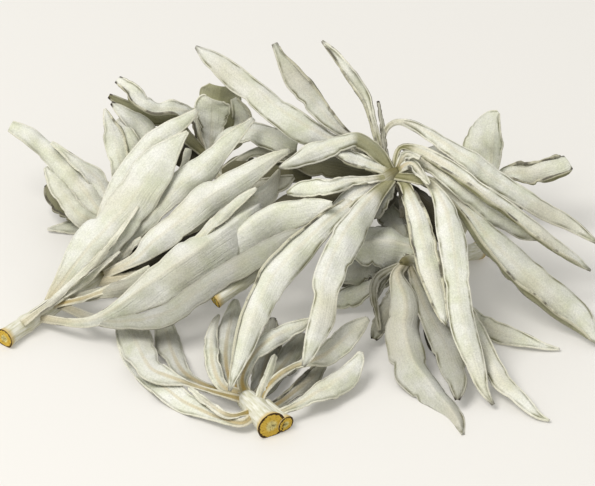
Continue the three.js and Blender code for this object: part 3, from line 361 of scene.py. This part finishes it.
# A place in the front view (across, up the view, height above the surface) as a point in millimetres:
# the depth is (up - height cos tilt) / sin tilt.
def placePoints(route):
    route = np.asarray(route, float)
    depth = (route[:, 1] - route[:, 2] * np.cos(lookDown)) / np.sin(lookDown)
    return np.stack([route[:, 0], depth, route[:, 2]], axis=1) - heapMiddle


# A smooth curve through the points (uniform Catmull-Rom, the end points mirrored to lead in and out):
# on each span (2b + (c - a)w + (2a - 5b + 4c - d)w^2 + (3b - a - 3c + d)w^3) / 2. t runs from 0 to 1.
def smoothCurve(points, t):
    ends = np.concatenate([[2 * points[0] - points[1]], points, [2 * points[-1] - points[-2]]])
    span = np.clip(t, 0, 1) * (len(points) - 1)
    k = np.minimum(span.astype(int), len(points) - 2)
    w = (span - k)[:, None]
    a, b, c, d = ends[k], ends[k + 1], ends[k + 2], ends[k + 3]
    return 0.5 * (2 * b + (c - a) * w + (2 * a - 5 * b + 4 * c - d) * w**2 + (3 * b - a - 3 * c + d) * w**3)


# Middle points, directions (chords over a short step) and half widths at shares of the curve's length,
# and that length, the sum of the steps of a fine copy.
def alongRoute(route, along):
    points = placePoints(route)
    halves = np.asarray([station[3:] or [1.0] for station in route], float)
    fineSteps, step = 400, 0.004
    t = np.linspace(0, 1, fineSteps + 1)
    fine = smoothCurve(points, t)
    run = np.concatenate([[0], np.cumsum(np.linalg.norm(np.diff(fine, axis=0), axis=1))])
    at = np.interp(along * run[-1], run, t)
    direction = smoothCurve(points, np.minimum(at + step, 1)) - smoothCurve(points, np.maximum(at - step, 0))
    direction /= np.linalg.norm(direction, axis=1, keepdims=True)
    half = smoothCurve(halves, at)[:, 0].clip(tipHalf)
    return smoothCurve(points, at), direction, half, run[-1]


# A soft random line: three sines of rising pitch with random phases, between about -1 and 1.
def softNoise(draw, x, pitch):
    phases = draw.random(3) * 2 * np.pi
    return (np.sin(pitch * x + phases[0]) + 0.5 * np.sin(2.3 * pitch * x + phases[1])
            + 0.3 * np.sin(4.1 * pitch * x + phases[2])) / 1.8


# A line of long shallow bays with short sharp ends: 0.6 of a soft random line, less three notches of
# depth * exp(-b^1.5), where b is how far a point lies behind the notch, in notch lengths. Ahead of a
# notch it falls off faster, as exp(-(3.5 b)^2).
def notches(draw, x, pitch):
    depth, length, sharpness = 1.3, 0.045, 3.5
    line = 0.6 * softNoise(draw, x, pitch)
    for place in draw.uniform(0.2, 0.95, 3):
        behind = (x - place) / length
        line = line - depth * np.exp(-behind.clip(0) ** 1.5 - (behind.clip(None, 0) * sharpness) ** 2)
    return line


# Shallow dents: the mean of six sine waves that run at random slants, 5 to 18 mm long.
def dents(draw, run, beside):
    total, count = 0, 6
    for _ in range(count):
        length, slant, phase = draw.uniform(5, 18), draw.uniform(-1.2, 1.2), draw.uniform(0, 2 * np.pi)
        way = run * np.cos(slant) + beside * np.sin(slant)
        total = total + np.sin(2 * np.pi / length * way + phase) / count
    return total


# 0 below start, 1 above end and a smooth 3t^2 - 2t^3 between.
def smoothStep(start, end, x):
    t = ((x - start) / (end - start)).clip(0, 1)
    return t * t * (3 - 2 * t)


# How far a blade strays from its look (degrees, a share for the curl), its relief in millimetres, and
# shares of it: how columns crowd at rib and margins, the stalk, and where and how wide a margin rolls under
# or turns, by 168 degrees, to lie back.
bladeForm = {"turnStray": 8, "foldStray": 10, "curlStray": 0.7, "frill": 0.25, "dent": 0.8, "bead": 0.22,
             "groove": 0.16, "ribBelow": 0.45, "ribWidth": 0.5, "stalk": 0.4, "crowding": 0.45,
             "stalkLength": 0.2, "rollFrom": 0.84, "rollWidth": 0.16, "turn": 168, "turnWidth": 0.16}


# A leaf blade as two faces on a (u, v) grid, u from root to tip and v across from margin to margin.
# Across, each half starts at the fold angle and bends on by the curl angle. Its last part rolls under,
# or a wider part turns by a half turn and lies back over the face. x and z are the running sums of the
# cosine and sine of that angle, scaled so that the widest x is the half width that shows. The margins
# wave as v^2 sin(pi u) sin(2 pi waves u). Each face stands off the middle surface along its normal.
def leafGrid(leaf, draw):
    look, form = leafLook | leaf, bladeForm
    along = np.linspace(0, 1, bladeRows + 1)
    even = np.linspace(-1, 1, bladeColumns + 1)
    across = even - form["crowding"] * np.sin(2 * np.pi * even) / (2 * np.pi)
    middle, direction, half, length = alongRoute(look["route"], along)
    face = np.array([0, -np.cos(faceUp), np.sin(faceUp)])
    normal = face - direction * (direction @ face)[:, None]
    normal /= np.linalg.norm(normal, axis=1, keepdims=True)
    side = np.cross(direction, normal)
    turn = look["roll"] + look["twist"] * along + form["turnStray"] * softNoise(draw, along, 4)
    turn = np.radians(turn)[:, None]
    normal, side = (normal * np.cos(turn) - side * np.sin(turn), side * np.cos(turn) + normal * np.sin(turn))
    u, v = along[:, None], across[None, :]
    reach, isLeft = np.abs(v), v < 0
    belly = np.sin(np.pi * u) ** 0.5
    ragged = np.where(isLeft, notches(draw, along, 15)[:, None], notches(draw, along, 17)[:, None])
    share = np.where(isLeft, 1 + look["rib"], 1 - look["rib"]) * (1 + look["ragged"] * ragged * belly)
    halfSide = half[:, None] * share
    fold = look["fold"] * (0.8 + 0.4 * along**2) + form["foldStray"] * softNoise(draw, along, 6)
    fold = np.radians(fold)[:, None]
    curl = np.radians(look["curl"] * (1 + form["curlStray"] * softNoise(draw, along, 8)))[:, None]
    over = np.where(isLeft, look["overLeft"], look["overRight"])
    over = over * smoothStep(0.06, 0.3, u) * (0.8 + 0.2 * ragged) * (1 - smoothStep(0.93, 1, u))
    start, slight = 1 - over / (1 + over) - form["turnWidth"], 0.03
    turnedOver = np.radians(form["turn"]) * smoothStep(start, start + form["turnWidth"], reach)
    turnedOver = turnedOver * smoothStep(slight, 0.08, over)
    rolled = ((reach - form["rollFrom"]).clip(0) / form["rollWidth"]) ** 1.5 * (over < slight)
    rolled = np.radians(look["rim"]) * rolled
    bend = fold + curl * reach - turnedOver + rolled * (0.6 + 0.4 * softNoise(draw, along, 9)[:, None])
    out, drop = np.zeros_like(bend), np.zeros_like(bend)
    centre = bladeColumns // 2
    for sign in (-1, 1):
        order = np.arange(centre, bladeColumns + 1) if sign > 0 else np.arange(centre, -1, -1)
        width = np.abs(np.diff(across[order]))[None, :]
        mean = (bend[:, order[1:]] + bend[:, order[:-1]]) / 2
        out[:, order[1:]] = np.cumsum(np.cos(mean) * width, axis=1)
        drop[:, order[1:]] = np.cumsum(np.sin(mean) * width, axis=1)
        widest = np.maximum(out[:, order].max(axis=1, keepdims=True), 0.2)
        out[:, order[1:]] *= sign / widest
        drop[:, order[1:]] /= widest
    x = out * halfSide + look["rib"] * half[:, None]
    z = -drop * halfSide
    ripple = np.sin(2 * np.pi * look["waves"] * u + np.sign(v) * reach)
    wave = look["wave"] * reach**2 * np.sin(np.pi * u) * ripple
    frill = np.where(isLeft, softNoise(draw, along, 26)[:, None], softNoise(draw, along, 24)[:, None])
    frill = form["frill"] * reach**3 * frill
    hollows = form["dent"] * dents(draw, u * length + 0 * v, x) * np.minimum(1, half / 3)[:, None]
    z = z + belly * (wave + frill + hollows)
    surface = middle[:, None] + side[:, None] * x[..., None] + normal[:, None] * z[..., None]
    faceNormal = np.cross(np.gradient(surface, axis=1), np.gradient(surface, axis=0))
    faceNormal /= np.linalg.norm(faceNormal, axis=2, keepdims=True).clip(1e-9)
    stalkShare = (1 - u / form["stalkLength"]).clip(0) ** 2
    bead = form["bead"] * smoothStep(0.82, 0.93, reach) * np.minimum(1, half / 2)[:, None]
    thick = (bladeHalf + bead + form["stalk"] * stalkShare) * np.sqrt(1 - (reach * 0.985) ** 24)
    thick = thick * np.minimum(1, 0.35 + (1 - u) * 12)
    rib = np.exp(-((reach * halfSide / form["ribWidth"]) ** 2)) * (1 - u) ** 0.7
    top = surface + faceNormal * (thick - form["groove"] * rib)[..., None]
    under = surface - faceNormal * (thick + form["ribBelow"] * rib)[..., None]
    return {"top": top, "under": under, "along": u, "across": v, "halfWidth": halfSide, "length": length,
            "look": look}


# The quads of a closed sheet: both faces, the two margins and the two ends.
def sheetFaces(rows, columns):
    top = np.arange((rows + 1) * (columns + 1)).reshape(rows + 1, columns + 1)
    low = top + top.size
    corners = [(top[:-1, :-1], top[:-1, 1:], top[1:, 1:], top[1:, :-1]),
               (low[:-1, :-1], low[1:, :-1], low[1:, 1:], low[:-1, 1:]),
               (top[:-1, 0], top[1:, 0], low[1:, 0], low[:-1, 0]),
               (top[1:, -1], top[:-1, -1], low[:-1, -1], low[1:, -1]),
               (top[0, 1:], top[0, :-1], low[0, :-1], low[0, 1:]),
               (top[-1, :-1], top[-1, 1:], low[-1, 1:], low[-1, :-1])]
    return np.concatenate([np.stack(four, -1).reshape(-1, 4) for four in corners])


# A mesh object from arrays of points (in millimetres), quads and named point values. A point that would
# go below the surface is laid just above it: its height h becomes (h + root(h^2 + softness)) / 2.
def meshPiece(name, points, faces, values, materials, faceMaterial=None):
    mesh = bpy.data.meshes.new(name)
    points, faces = np.concatenate(points), np.concatenate(faces)
    lift, softness = 0.05, 0.36
    height = points[:, 2] - lift
    points[:, 2] = (height + np.sqrt(height**2 + softness)) / 2
    mesh.vertices.add(len(points))
    mesh.vertices.foreach_set("co", (points * mm).astype(np.float32).ravel())
    mesh.loops.add(faces.size)
    mesh.loops.foreach_set("vertex_index", faces.astype(np.int32).ravel())
    mesh.polygons.add(len(faces))
    mesh.polygons.foreach_set("loop_start", np.arange(0, faces.size, 4, dtype=np.int32))
    mesh.update(calc_edges=True)
    mesh.polygons.foreach_set("use_smooth", np.ones(len(faces), bool))
    for key, numbers in values.items():
        attribute = mesh.attributes.new(key, "FLOAT", "POINT")
        attribute.data.foreach_set("value", np.concatenate(numbers).astype(np.float32).ravel())
    for material in materials:
        mesh.materials.append(material)
    if faceMaterial is not None:
        mesh.polygons.foreach_set("material_index", faceMaterial.astype(np.int32))
    mesh.validate()
    piece = bpy.data.objects.new(name, mesh)
    bpy.context.scene.collection.objects.link(piece)
    return piece


leafValues = ("along", "fromMargin", "fromRib", "runMm", "underside", "shade", "tan", "oliveTo", "dried",
              "lined", "leafNumber")


# Leaves of one leafy stem in one mesh. Point values tell the material where on a leaf it is and what that
# leaf looks like. Its share of painted shade, the dark colour, is 0.97 (0.12 (tone - 0.3) - shade)^1.25,
# with a random tone for each leaf.
def leavesPiece(name, leaves, seed, material):
    draw = np.random.default_rng(seed)
    points, faces, count = [], [], 0
    values = {key: [] for key in leafValues}
    for leaf in leaves:
        grid = leafGrid(leaf, draw)
        look, across, half = grid["look"], grid["across"], grid["halfWidth"]
        both = np.concatenate([grid["top"].reshape(-1, 3), grid["under"].reshape(-1, 3)])
        points.append(both)
        faces.append(sheetFaces(bladeRows, bladeColumns) + count)
        count += len(both)
        tone = draw.random()
        here = look | {"along": grid["along"], "fromMargin": (1 - np.abs(across)) * half,
                       "fromRib": across * half, "runMm": grid["along"] * grid["length"],
                       "underside": 0, "leafNumber": tone * 50,
                       "shade": 0.97 * np.clip(0.12 * (tone - 0.3) - look["shade"], 0, 1) ** 1.25}
        for key in leafValues:
            values[key].append(np.tile(np.broadcast_to(here[key], half.shape).ravel(), 2))
        values["underside"][-1] = np.repeat([0.0, 1.0], half.size)
    return meshPiece(name, points, faces, values, [material])


# Lengths in millimetres, and shares of the radius: the swelling at each leaf node, the ridges, the rings
# of a cut end and how far its rough wood reaches.
barkForm = {"ringGap": 0.6, "nodeGap": 11, "swellLength": 1.4, "swell": 0.1, "body": 0.97, "ridge": 0.035,
            "cutRings": (0.97, 0.85, 0.6, 0.35, 0.06), "grain": 0.12, "woodTo": 0.9, "roundedTip": 0.6}


# A stem: circles carried along the route. The radius tapers, swells by exp(-(d / 1.4)^2) near each leaf
# node, and carries fine ridges lengthwise; each cut end is a disc of rings that shrink to the middle.
def stemPiece(name, stem, barkMaterial, cutMaterial):
    form = barkForm
    draw = np.random.default_rng(stem["seed"] + 100)
    points, faces, faceMaterial, count = [], [], [], 0
    values = {"around": [], "runMm": [], "ringShare": [], "along": []}
    for tube in stem["stems"]:
        length = alongRoute(tube["route"], np.array([0.0, 1.0]))[3]
        rows = int(length / form["ringGap"])
        along = np.linspace(0, 1, rows + 1)
        middle, direction, _, _ = alongRoute(tube["route"], along)
        sideways = np.cross([0, 0, 1], direction)
        sideways /= np.linalg.norm(sideways, axis=1, keepdims=True)
        upward = np.cross(direction, sideways)
        turn = 2 * np.pi * np.arange(stemSides) / stemSides
        ridges = 0.5 * softNoise(draw, turn, 5) + 0.5 * softNoise(draw, turn, 9)
        ridges *= np.sin(turn / 2) ** 0.5
        fromNode = (along * length + form["nodeGap"] / 2) % form["nodeGap"] - form["nodeGap"] / 2
        swell = form["swell"] * np.exp(-(fromNode / form["swellLength"]) ** 2)
        radius = tube["radius"] + (tube["endRadius"] - tube["radius"]) * along
        radius = radius[:, None] * (form["body"] + swell[:, None] + form["ridge"] * ridges[None, :])
        radius *= 1 - form["roundedTip"] * (1 - np.sqrt(1 - smoothStep(0.9, 1, along)[:, None] ** 2))
        shrink = form["cutRings"]
        cuts = [radius[0] * s for s in shrink[::-1]], [radius[-1] * s for s in shrink]
        size = np.stack([*cuts[0], *radius, *cuts[1]])
        at = np.array([0] * len(shrink) + list(range(rows + 1)) + [rows] * len(shrink))
        outward = (sideways[at][:, None] * np.cos(turn)[None, :, None]
                   + upward[at][:, None] * np.sin(turn)[None, :, None])
        ring = middle[at][:, None] + size[..., None] * outward
        grain = form["grain"] * draw.standard_normal(size.shape) * (size < radius[at] * form["woodTo"])
        ring = ring + direction[at][:, None] * grain[..., None]
        number = count + np.arange(len(at) * stemSides).reshape(len(at), stemSides)
        after = np.roll(number, -1, axis=1)
        quads = np.stack([number[:-1], after[:-1], after[1:], number[1:]], -1).reshape(-1, 4)
        isCut = np.repeat((at[:-1] == at[1:]) & (at[1:] == 0), stemSides)
        for row, order in ((number[0], -1), (number[-1], 1)):
            pole = row[::order]
            half = stemSides // 2
            cap = [pole[:half - 1], pole[1:half], pole[::-1][1:half], pole[::-1][:half - 1]]
            quads = np.concatenate([quads, np.stack(cap, -1)])
            isCut = np.concatenate([isCut, np.full(half - 1, order < 0)])
        points.append(ring.reshape(-1, 3))
        faces.append(quads)
        faceMaterial.append(isCut)
        values["around"].append(np.tile(turn, len(at)))
        values["runMm"].append(np.repeat(along[at] * length, stemSides))
        values["ringShare"].append((size / radius[at]).ravel())
        values["along"].append(np.repeat(along[at], stemSides))
        count += len(at) * stemSides
    return meshPiece(name, points, faces, values, [barkMaterial, cutMaterial], np.concatenate(faceMaterial))


# An empty material, its node tree, its linear colours and what its pieces' points tell it.
def newMaterial(name, finish, pointValues=()):
    material = bpy.data.materials.new(name)
    material.use_nodes = True
    tree = material.node_tree
    tree.nodes.clear()
    colour = {key: linearColour(value) for key, value in finish.items()}
    read = {key: (addNode(tree, "ShaderNodeAttribute", {"attribute_name": key}), "Fac")
            for key in pointValues}
    return material, tree, colour, read


# Works out more values from those that a material reads. A step is an operation and its terms, names of
# values or numbers. A range's terms are a value, its lower and upper end, and what it becomes at each.
def workOut(tree, read, steps):
    for key, (operation, *terms) in steps.items():
        terms = {"i" + str(i): read[term] if isinstance(term, str) else term for i, term in enumerate(terms)}
        if operation == "range":
            read[key] = (addNode(tree, "ShaderNodeMapRange", **terms), "Result")
        else:
            read[key] = (addNode(tree, "ShaderNodeMath", {"operation": operation}, **terms), "Value")


# Dried sage leaf: a thin blade under a pressed felt of white hairs, which hides the green, shows it
# more on the underside, and leaves cream margins and a tan midrib. The felt makes it dull and soft.
def feltedLeaf():
    # The dark colour is painted shade, and the line colour is a painted shade line inside the margin.
    finish = {"pale": "#E1E1D8", "green": "#D1D3BD", "under": "#929066", "cream": "#D8D4C0",
              "tan": "#B39B5C", "brown": "#2E2412", "paintedShade": "#3B3521", "warm": "#D3CFBB", "line": "#68653A"}
    material, tree, colour, read = newMaterial("driedSageLeafFelt", finish, leafValues)
    place = (addNode(tree, "ShaderNodeTexCoord"), "Object")
    ribSpace = (addNode(tree, "ShaderNodeCombineXYZ", X=read["fromRib"], Y=read["runMm"],
                        Z=read["leafNumber"]), "Vector")
    alongRib = (addNode(tree, "ShaderNodeMapping", Vector=ribSpace, Scale=(2.6, 0.07, 1.0)), "Vector")
    # Each pattern's space, scale, detail and roughness. Clouds are patches about 9 mm across where the felt
    # is thinner, yellowed ones are some 25 mm wide, and the veins are long, faint and about 1 mm apart. The
    # felt's hairs are far finer than the render shows, so their grain is drawn 0.5 mm coarse.
    patterns = {"clouds": (place, 110, 4, 0.6), "yellowed": (place, 42, 1, 0.5),
                "veins": (alongRib, 1, 2, 0.5), "patches": (ribSpace, 0.16, 3, 0.5),
                "felt": (place, 2000, 3, 0.7)}
    for key, (space, scale, detail, roughness) in patterns.items():
        read[key] = (addNode(tree, "ShaderNodeTexNoise", Vector=space, Scale=scale, Detail=detail,
                             Roughness=roughness), "Fac")
    workOut(tree, read, {
        "thinFelt": ("range", "clouds", 0.38, 0.68, 0, 1), "warm": ("range", "yellowed", 0.5, 0.7, 0, 0.6),
        "veinTone": ("range", "veins", 0.4, 0.75, 1, 0.94),
        "feltTone": ("range", "felt", 0.3, 0.7, 0.84, 1.1), "relief": ("MULTIPLY_ADD", "veins", 1.3, "felt"),
        # The midrib is under a millimetre wide, tan at the stalk and paler towards the tip, and the stalk
        # end of the blade takes its colour.
        "ribDistance": ("ABSOLUTE", "fromRib"), "nearRib": ("range", "ribDistance", 0.25, 0.75, 1, 0),
        "nearStalk": ("range", "along", 0.1, 0.9, 1, 0.15), "tanHere": ("MULTIPLY", "tan", "nearStalk"),
        "rib": ("MULTIPLY", "nearRib", "tanHere"), "stalk": ("range", "along", 0.02, 0.2, 0.75, 0),
        # The underside is olive, and so is the upper face of a leaf up to where its felt begins.
        "bareness": ("SUBTRACT", "oliveTo", "along"), "bare": ("range", "bareness", -0.02, 0.03, 0, 1),
        "eitherFace": ("MAXIMUM", "underside", "bare"), "olive": ("MULTIPLY", "eitherFace", 0.8),
        # A dull broken line of painted shade runs inside the margin, where the blade bends down to it.
        "inner": ("range", "fromMargin", 0.45, 0.6, 0, 1), "outer": ("range", "fromMargin", 0.65, 1.3, 1, 0),
        "band": ("MULTIPLY", "inner", "outer"), "broken": ("range", "patches", 0.38, 0.6, 0.15, 0.9),
        "brokenBand": ("MULTIPLY", "band", "broken"), "paintedRimShade": ("MULTIPLY", "brokenBand", "lined"),
        # The margin is cream over about half a millimetre, and brown in places where it has dried hard.
        "margin": ("range", "fromMargin", 0.3, 0.55, 0.6, 0),
        "drying": ("MULTIPLY_ADD", "dried", 0.14, "patches"), "hard": ("range", "drying", 0.56, 0.66, 0, 1),
        "rim": ("range", "fromMargin", 0.1, 0.28, 0.75, 0), "hardRim": ("MULTIPLY", "hard", "rim"),
        # The last millimetre or two of a dried leaf's tip has gone brown as well.
        "tip": ("range", "along", 0.965, 0.99, 0, 1.3), "driedTip": ("MULTIPLY", "tip", "dried"),
        "narrow": ("range", "fromMargin", 0.3, 0.8, 1, 0), "brownTip": ("MULTIPLY", "driedTip", "narrow"),
        "brown": ("MAXIMUM", "hardRim", "brownTip")})
    # Each colour covers those before it. The dark one is painted shade, laid on by each leaf's shade share,
    # and the line colour is a painted shade line inside the margin. Without a share, the colour multiplies.
    ribColour = (addNode(tree, "ShaderNodeMix", {"data_type": "RGBA"}, i0=read["tanHere"],
                         i6=colour["cream"], i7=colour["tan"]), 2)
    base = colour["pale"]
    for share, cover in (("thinFelt", colour["green"]), ("warm", colour["warm"]), (None, read["veinTone"]),
                         ("rib", ribColour), ("stalk", ribColour), ("olive", colour["under"]),
                         ("paintedRimShade", colour["line"]), ("margin", colour["cream"]), ("brown", colour["brown"]),
                         ("shade", colour["paintedShade"]), (None, read["feltTone"])):
        blend = {"data_type": "RGBA", "blend_type": "MIX" if share else "MULTIPLY"}
        base = (addNode(tree, "ShaderNodeMix", blend, i0=read.get(share, 1), i6=base, i7=cover), 2)
    bump = addNode(tree, "ShaderNodeBump", Strength=0.6, Distance=0.0003, Height=read["relief"])
    shader = addNode(tree, "ShaderNodeBsdfPrincipled", Normal=(bump, "Normal"), **{"Base Color": base})
    shader.inputs["Roughness"].default_value = 0.92
    shader.inputs["Specular IOR Level"].default_value = 0.2
    shader.inputs["Sheen Weight"].default_value = 0.25
    shader.inputs["Sheen Roughness"].default_value = 0.6
    addNode(tree, "ShaderNodeOutputMaterial", Surface=(shader, "BSDF"))
    return material


# Dried sage stem: a square-ish woody shoot with a pale felted bark, which shows cream and olive
# streaks lengthwise, goes golden near the cut and darker over its last tenth, where it ends among the
# leaf bases.
def driedStem():
    finish = {"pale": "#DAD9CD", "olive": "#B5B292", "gold": "#C2A75D", "darkerEnd": "#6E673E"}
    material, tree, colour, read = newMaterial("driedSageBark", finish, ("around", "runMm", "along"))
    space = (addNode(tree, "ShaderNodeCombineXYZ", X=read["around"], Y=read["runMm"]), "Vector")
    alongBark = (addNode(tree, "ShaderNodeMapping", Vector=space, Scale=(3.0, 0.12, 1.0)), "Vector")
    read["streaks"] = (addNode(tree, "ShaderNodeTexNoise", Vector=alongBark, Scale=1.4, Detail=4), "Fac")
    workOut(tree, read, {"olive": ("range", "streaks", 0.4, 0.7, 0, 0.9),
                         "gold": ("range", "runMm", 0.3, 2.5, 0.8, 0),
                         "darkerEnd": ("range", "along", 0.88, 0.97, 0, 0.9)})
    base = colour["pale"]
    for key in ("olive", "gold", "darkerEnd"):
        base = (addNode(tree, "ShaderNodeMix", {"data_type": "RGBA"}, i0=read[key], i6=base,
                        i7=colour[key]), 2)
    bump = addNode(tree, "ShaderNodeBump", Strength=0.5, Distance=0.0003, Height=read["streaks"])
    shader = addNode(tree, "ShaderNodeBsdfPrincipled", Normal=(bump, "Normal"), **{"Base Color": base})
    shader.inputs["Roughness"].default_value = 0.85
    shader.inputs["Specular IOR Level"].default_value = 0.25
    addNode(tree, "ShaderNodeOutputMaterial", Surface=(shader, "BSDF"))
    return material


# Cut sage wood: golden woody ring, paler pith in the middle and a dark, torn rim of bark.
def cutWood():
    finish = {"pith": "#E2D695", "gold": "#D6B64C", "speck": "#94701F", "rim": "#4A3512"}
    material, tree, colour, read = newMaterial("cutSageWood", finish, ("ringShare",))
    place = (addNode(tree, "ShaderNodeTexCoord"), "Object")
    # Open vessels show as dark specks, drawn 0.4 mm wide, since the real ones are too fine to see.
    read["vessels"] = (addNode(tree, "ShaderNodeTexVoronoi", Vector=place, Scale=1500), "Distance")
    read["grain"] = (addNode(tree, "ShaderNodeTexNoise", Vector=place, Scale=1400, Detail=4,
                             Roughness=0.7), "Fac")
    workOut(tree, read, {"wobble": ("MULTIPLY_ADD", "grain", 0.3, "ringShare"),
                         "speck": ("range", "vessels", 0.12, 0.34, 0.85, 0)})
    ramp = addNode(tree, "ShaderNodeValToRGB", Fac=read["wobble"])
    stops = ramp.color_ramp.elements
    stops[0].position, stops[0].color = 0.45, colour["pith"]
    stops[1].position, stops[1].color = 0.62, colour["gold"]
    for key in ("gold", "rim"):
        stops.new(0.995).color = colour[key]
    base = (addNode(tree, "ShaderNodeMix", {"data_type": "RGBA"}, i0=read["speck"], i6=(ramp, "Color"),
                    i7=colour["speck"]), 2)
    bump = addNode(tree, "ShaderNodeBump", Strength=0.8, Distance=0.0004, Height=read["grain"])
    shader = addNode(tree, "ShaderNodeBsdfPrincipled", Normal=(bump, "Normal"), **{"Base Color": base})
    shader.inputs["Roughness"].default_value = 0.8
    addNode(tree, "ShaderNodeOutputMaterial", Surface=(shader, "BSDF"))
    return material


leafFelt, stemBark, stemCut = feltedLeaf(), driedStem(), cutWood()
leavesInPiece = 12
for stem in (leftStem, frontStem, topStem, rightStem, backLeftStem, backMiddleStem, backRightStem):
    shortName = stem["node"].replace("leafy_stem_", "")
    pieces = [stemPiece("stem_" + shortName, stem, stemBark, stemCut)]
    leaves = [stem.get("look", {}) | leaf for leaf in stem["leaves"]]
    for first in range(0, len(leaves), leavesInPiece):
        name = "leaves_" + shortName + "_" + str(first)
        pieces.append(leavesPiece(name, leaves[first:first + leavesInPiece], stem["seed"] + first, leafFelt))
    for piece in pieces:
        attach(piece, "root")
        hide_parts(stem["node"])
    triangles = 2 * sum(len(piece.data.polygons) for piece in pieces)
    print("made", shortName, len(leaves), "leaves,", triangles, "triangles")


# The plain pale surface below the heap. It gives a little light, which keeps the shadows on it faint.
def paleFloor():
    size = 4.0
    corners = [(-size, -size, 0), (size, -size, 0), (size, size, 0), (-size, size, 0)]
    mesh = bpy.data.meshes.new("floor")
    mesh.from_pydata(corners, [], [(0, 1, 2, 3)])
    floor = bpy.data.objects.new("floor", mesh)
    bpy.context.scene.collection.objects.link(floor)
    material, tree, colour, _ = newMaterial("paleCard", {"card": "#C4C2BD", "glow": "#F2F0EA"})
    shader = addNode(tree, "ShaderNodeBsdfPrincipled")
    shader.inputs["Base Color"].default_value = colour["card"]
    shader.inputs["Roughness"].default_value = 0.9
    shader.inputs["Emission Color"].default_value = colour["glow"]
    shader.inputs["Emission Strength"].default_value = 0.22
    addNode(tree, "ShaderNodeOutputMaterial", Surface=(shader, "BSDF"))
    mesh.materials.append(material)


# Soft studio light: a wide lamp above, in front and to the left, and an even pale surround.
def studioLight():
    key = {"place": Vector((-0.55, -0.4, 1.25)), "aim": Vector((0, 0, 0.02)), "size": 0.8, "watts": 14.5,
           "colour": "#FFFDFC", "surround": 0.68}
    lamp = bpy.data.lights.new("keyLight", "AREA")
    lamp.shape, lamp.size, lamp.energy = "DISK", key["size"], key["watts"]
    lamp.color = linearColour(key["colour"])[:3]
    light = bpy.data.objects.new("keyLight", lamp)
    bpy.context.scene.collection.objects.link(light)
    light.location = key["place"]
    light.rotation_euler = (key["aim"] - key["place"]).to_track_quat("-Z", "Y").to_euler()
    world = bpy.data.worlds.new("paleSurround")
    bpy.context.scene.world = world
    world.use_nodes = True
    background = world.node_tree.nodes["Background"]
    background.inputs["Color"].default_value = linearColour("#FFFFFF")
    background.inputs["Strength"].default_value = key["surround"]


# The camera looks along +Y, down by the view's angle, through a long lens. The view is as wide as the
# photograph, whose pixels are a third of a millimetre, and centred on its middle.
def photoCamera():
    view = {"distance": 2.5, "pixelMm": 1 / 3, "pixelsWide": 595, "middlePixel": (297.5, 243),
            "zeroPixel": (300, 437), "middleHeight": 20, "sensor": 36}
    across = (view["middlePixel"][0] - view["zeroPixel"][0]) * view["pixelMm"]
    up = (view["zeroPixel"][1] - view["middlePixel"][1]) * view["pixelMm"]
    target = placePoints([[across, up, view["middleHeight"]]])[0] * mm
    lens = bpy.data.cameras.new("camera")
    lens.sensor_width = view["sensor"]
    lens.lens = view["sensor"] * view["distance"] / (view["pixelsWide"] * view["pixelMm"] * mm)
    camera = bpy.data.objects.new("camera", lens)
    bpy.context.scene.collection.objects.link(camera)
    back = np.array([0, -np.cos(lookDown), np.sin(lookDown)])
    camera.location = target + back * view["distance"]
    camera.rotation_euler = (np.pi / 2 - lookDown, 0, 0)
    bpy.context.scene.camera = camera


paleFloor()
studioLight()
photoCamera()
photoTone = bpy.context.scene.view_settings  # a little steeper than plain, as in the photograph
photoTone.view_transform, photoTone.gamma, photoTone.exposure = "Standard", 0.88, 0.05
print("stage and camera placed")
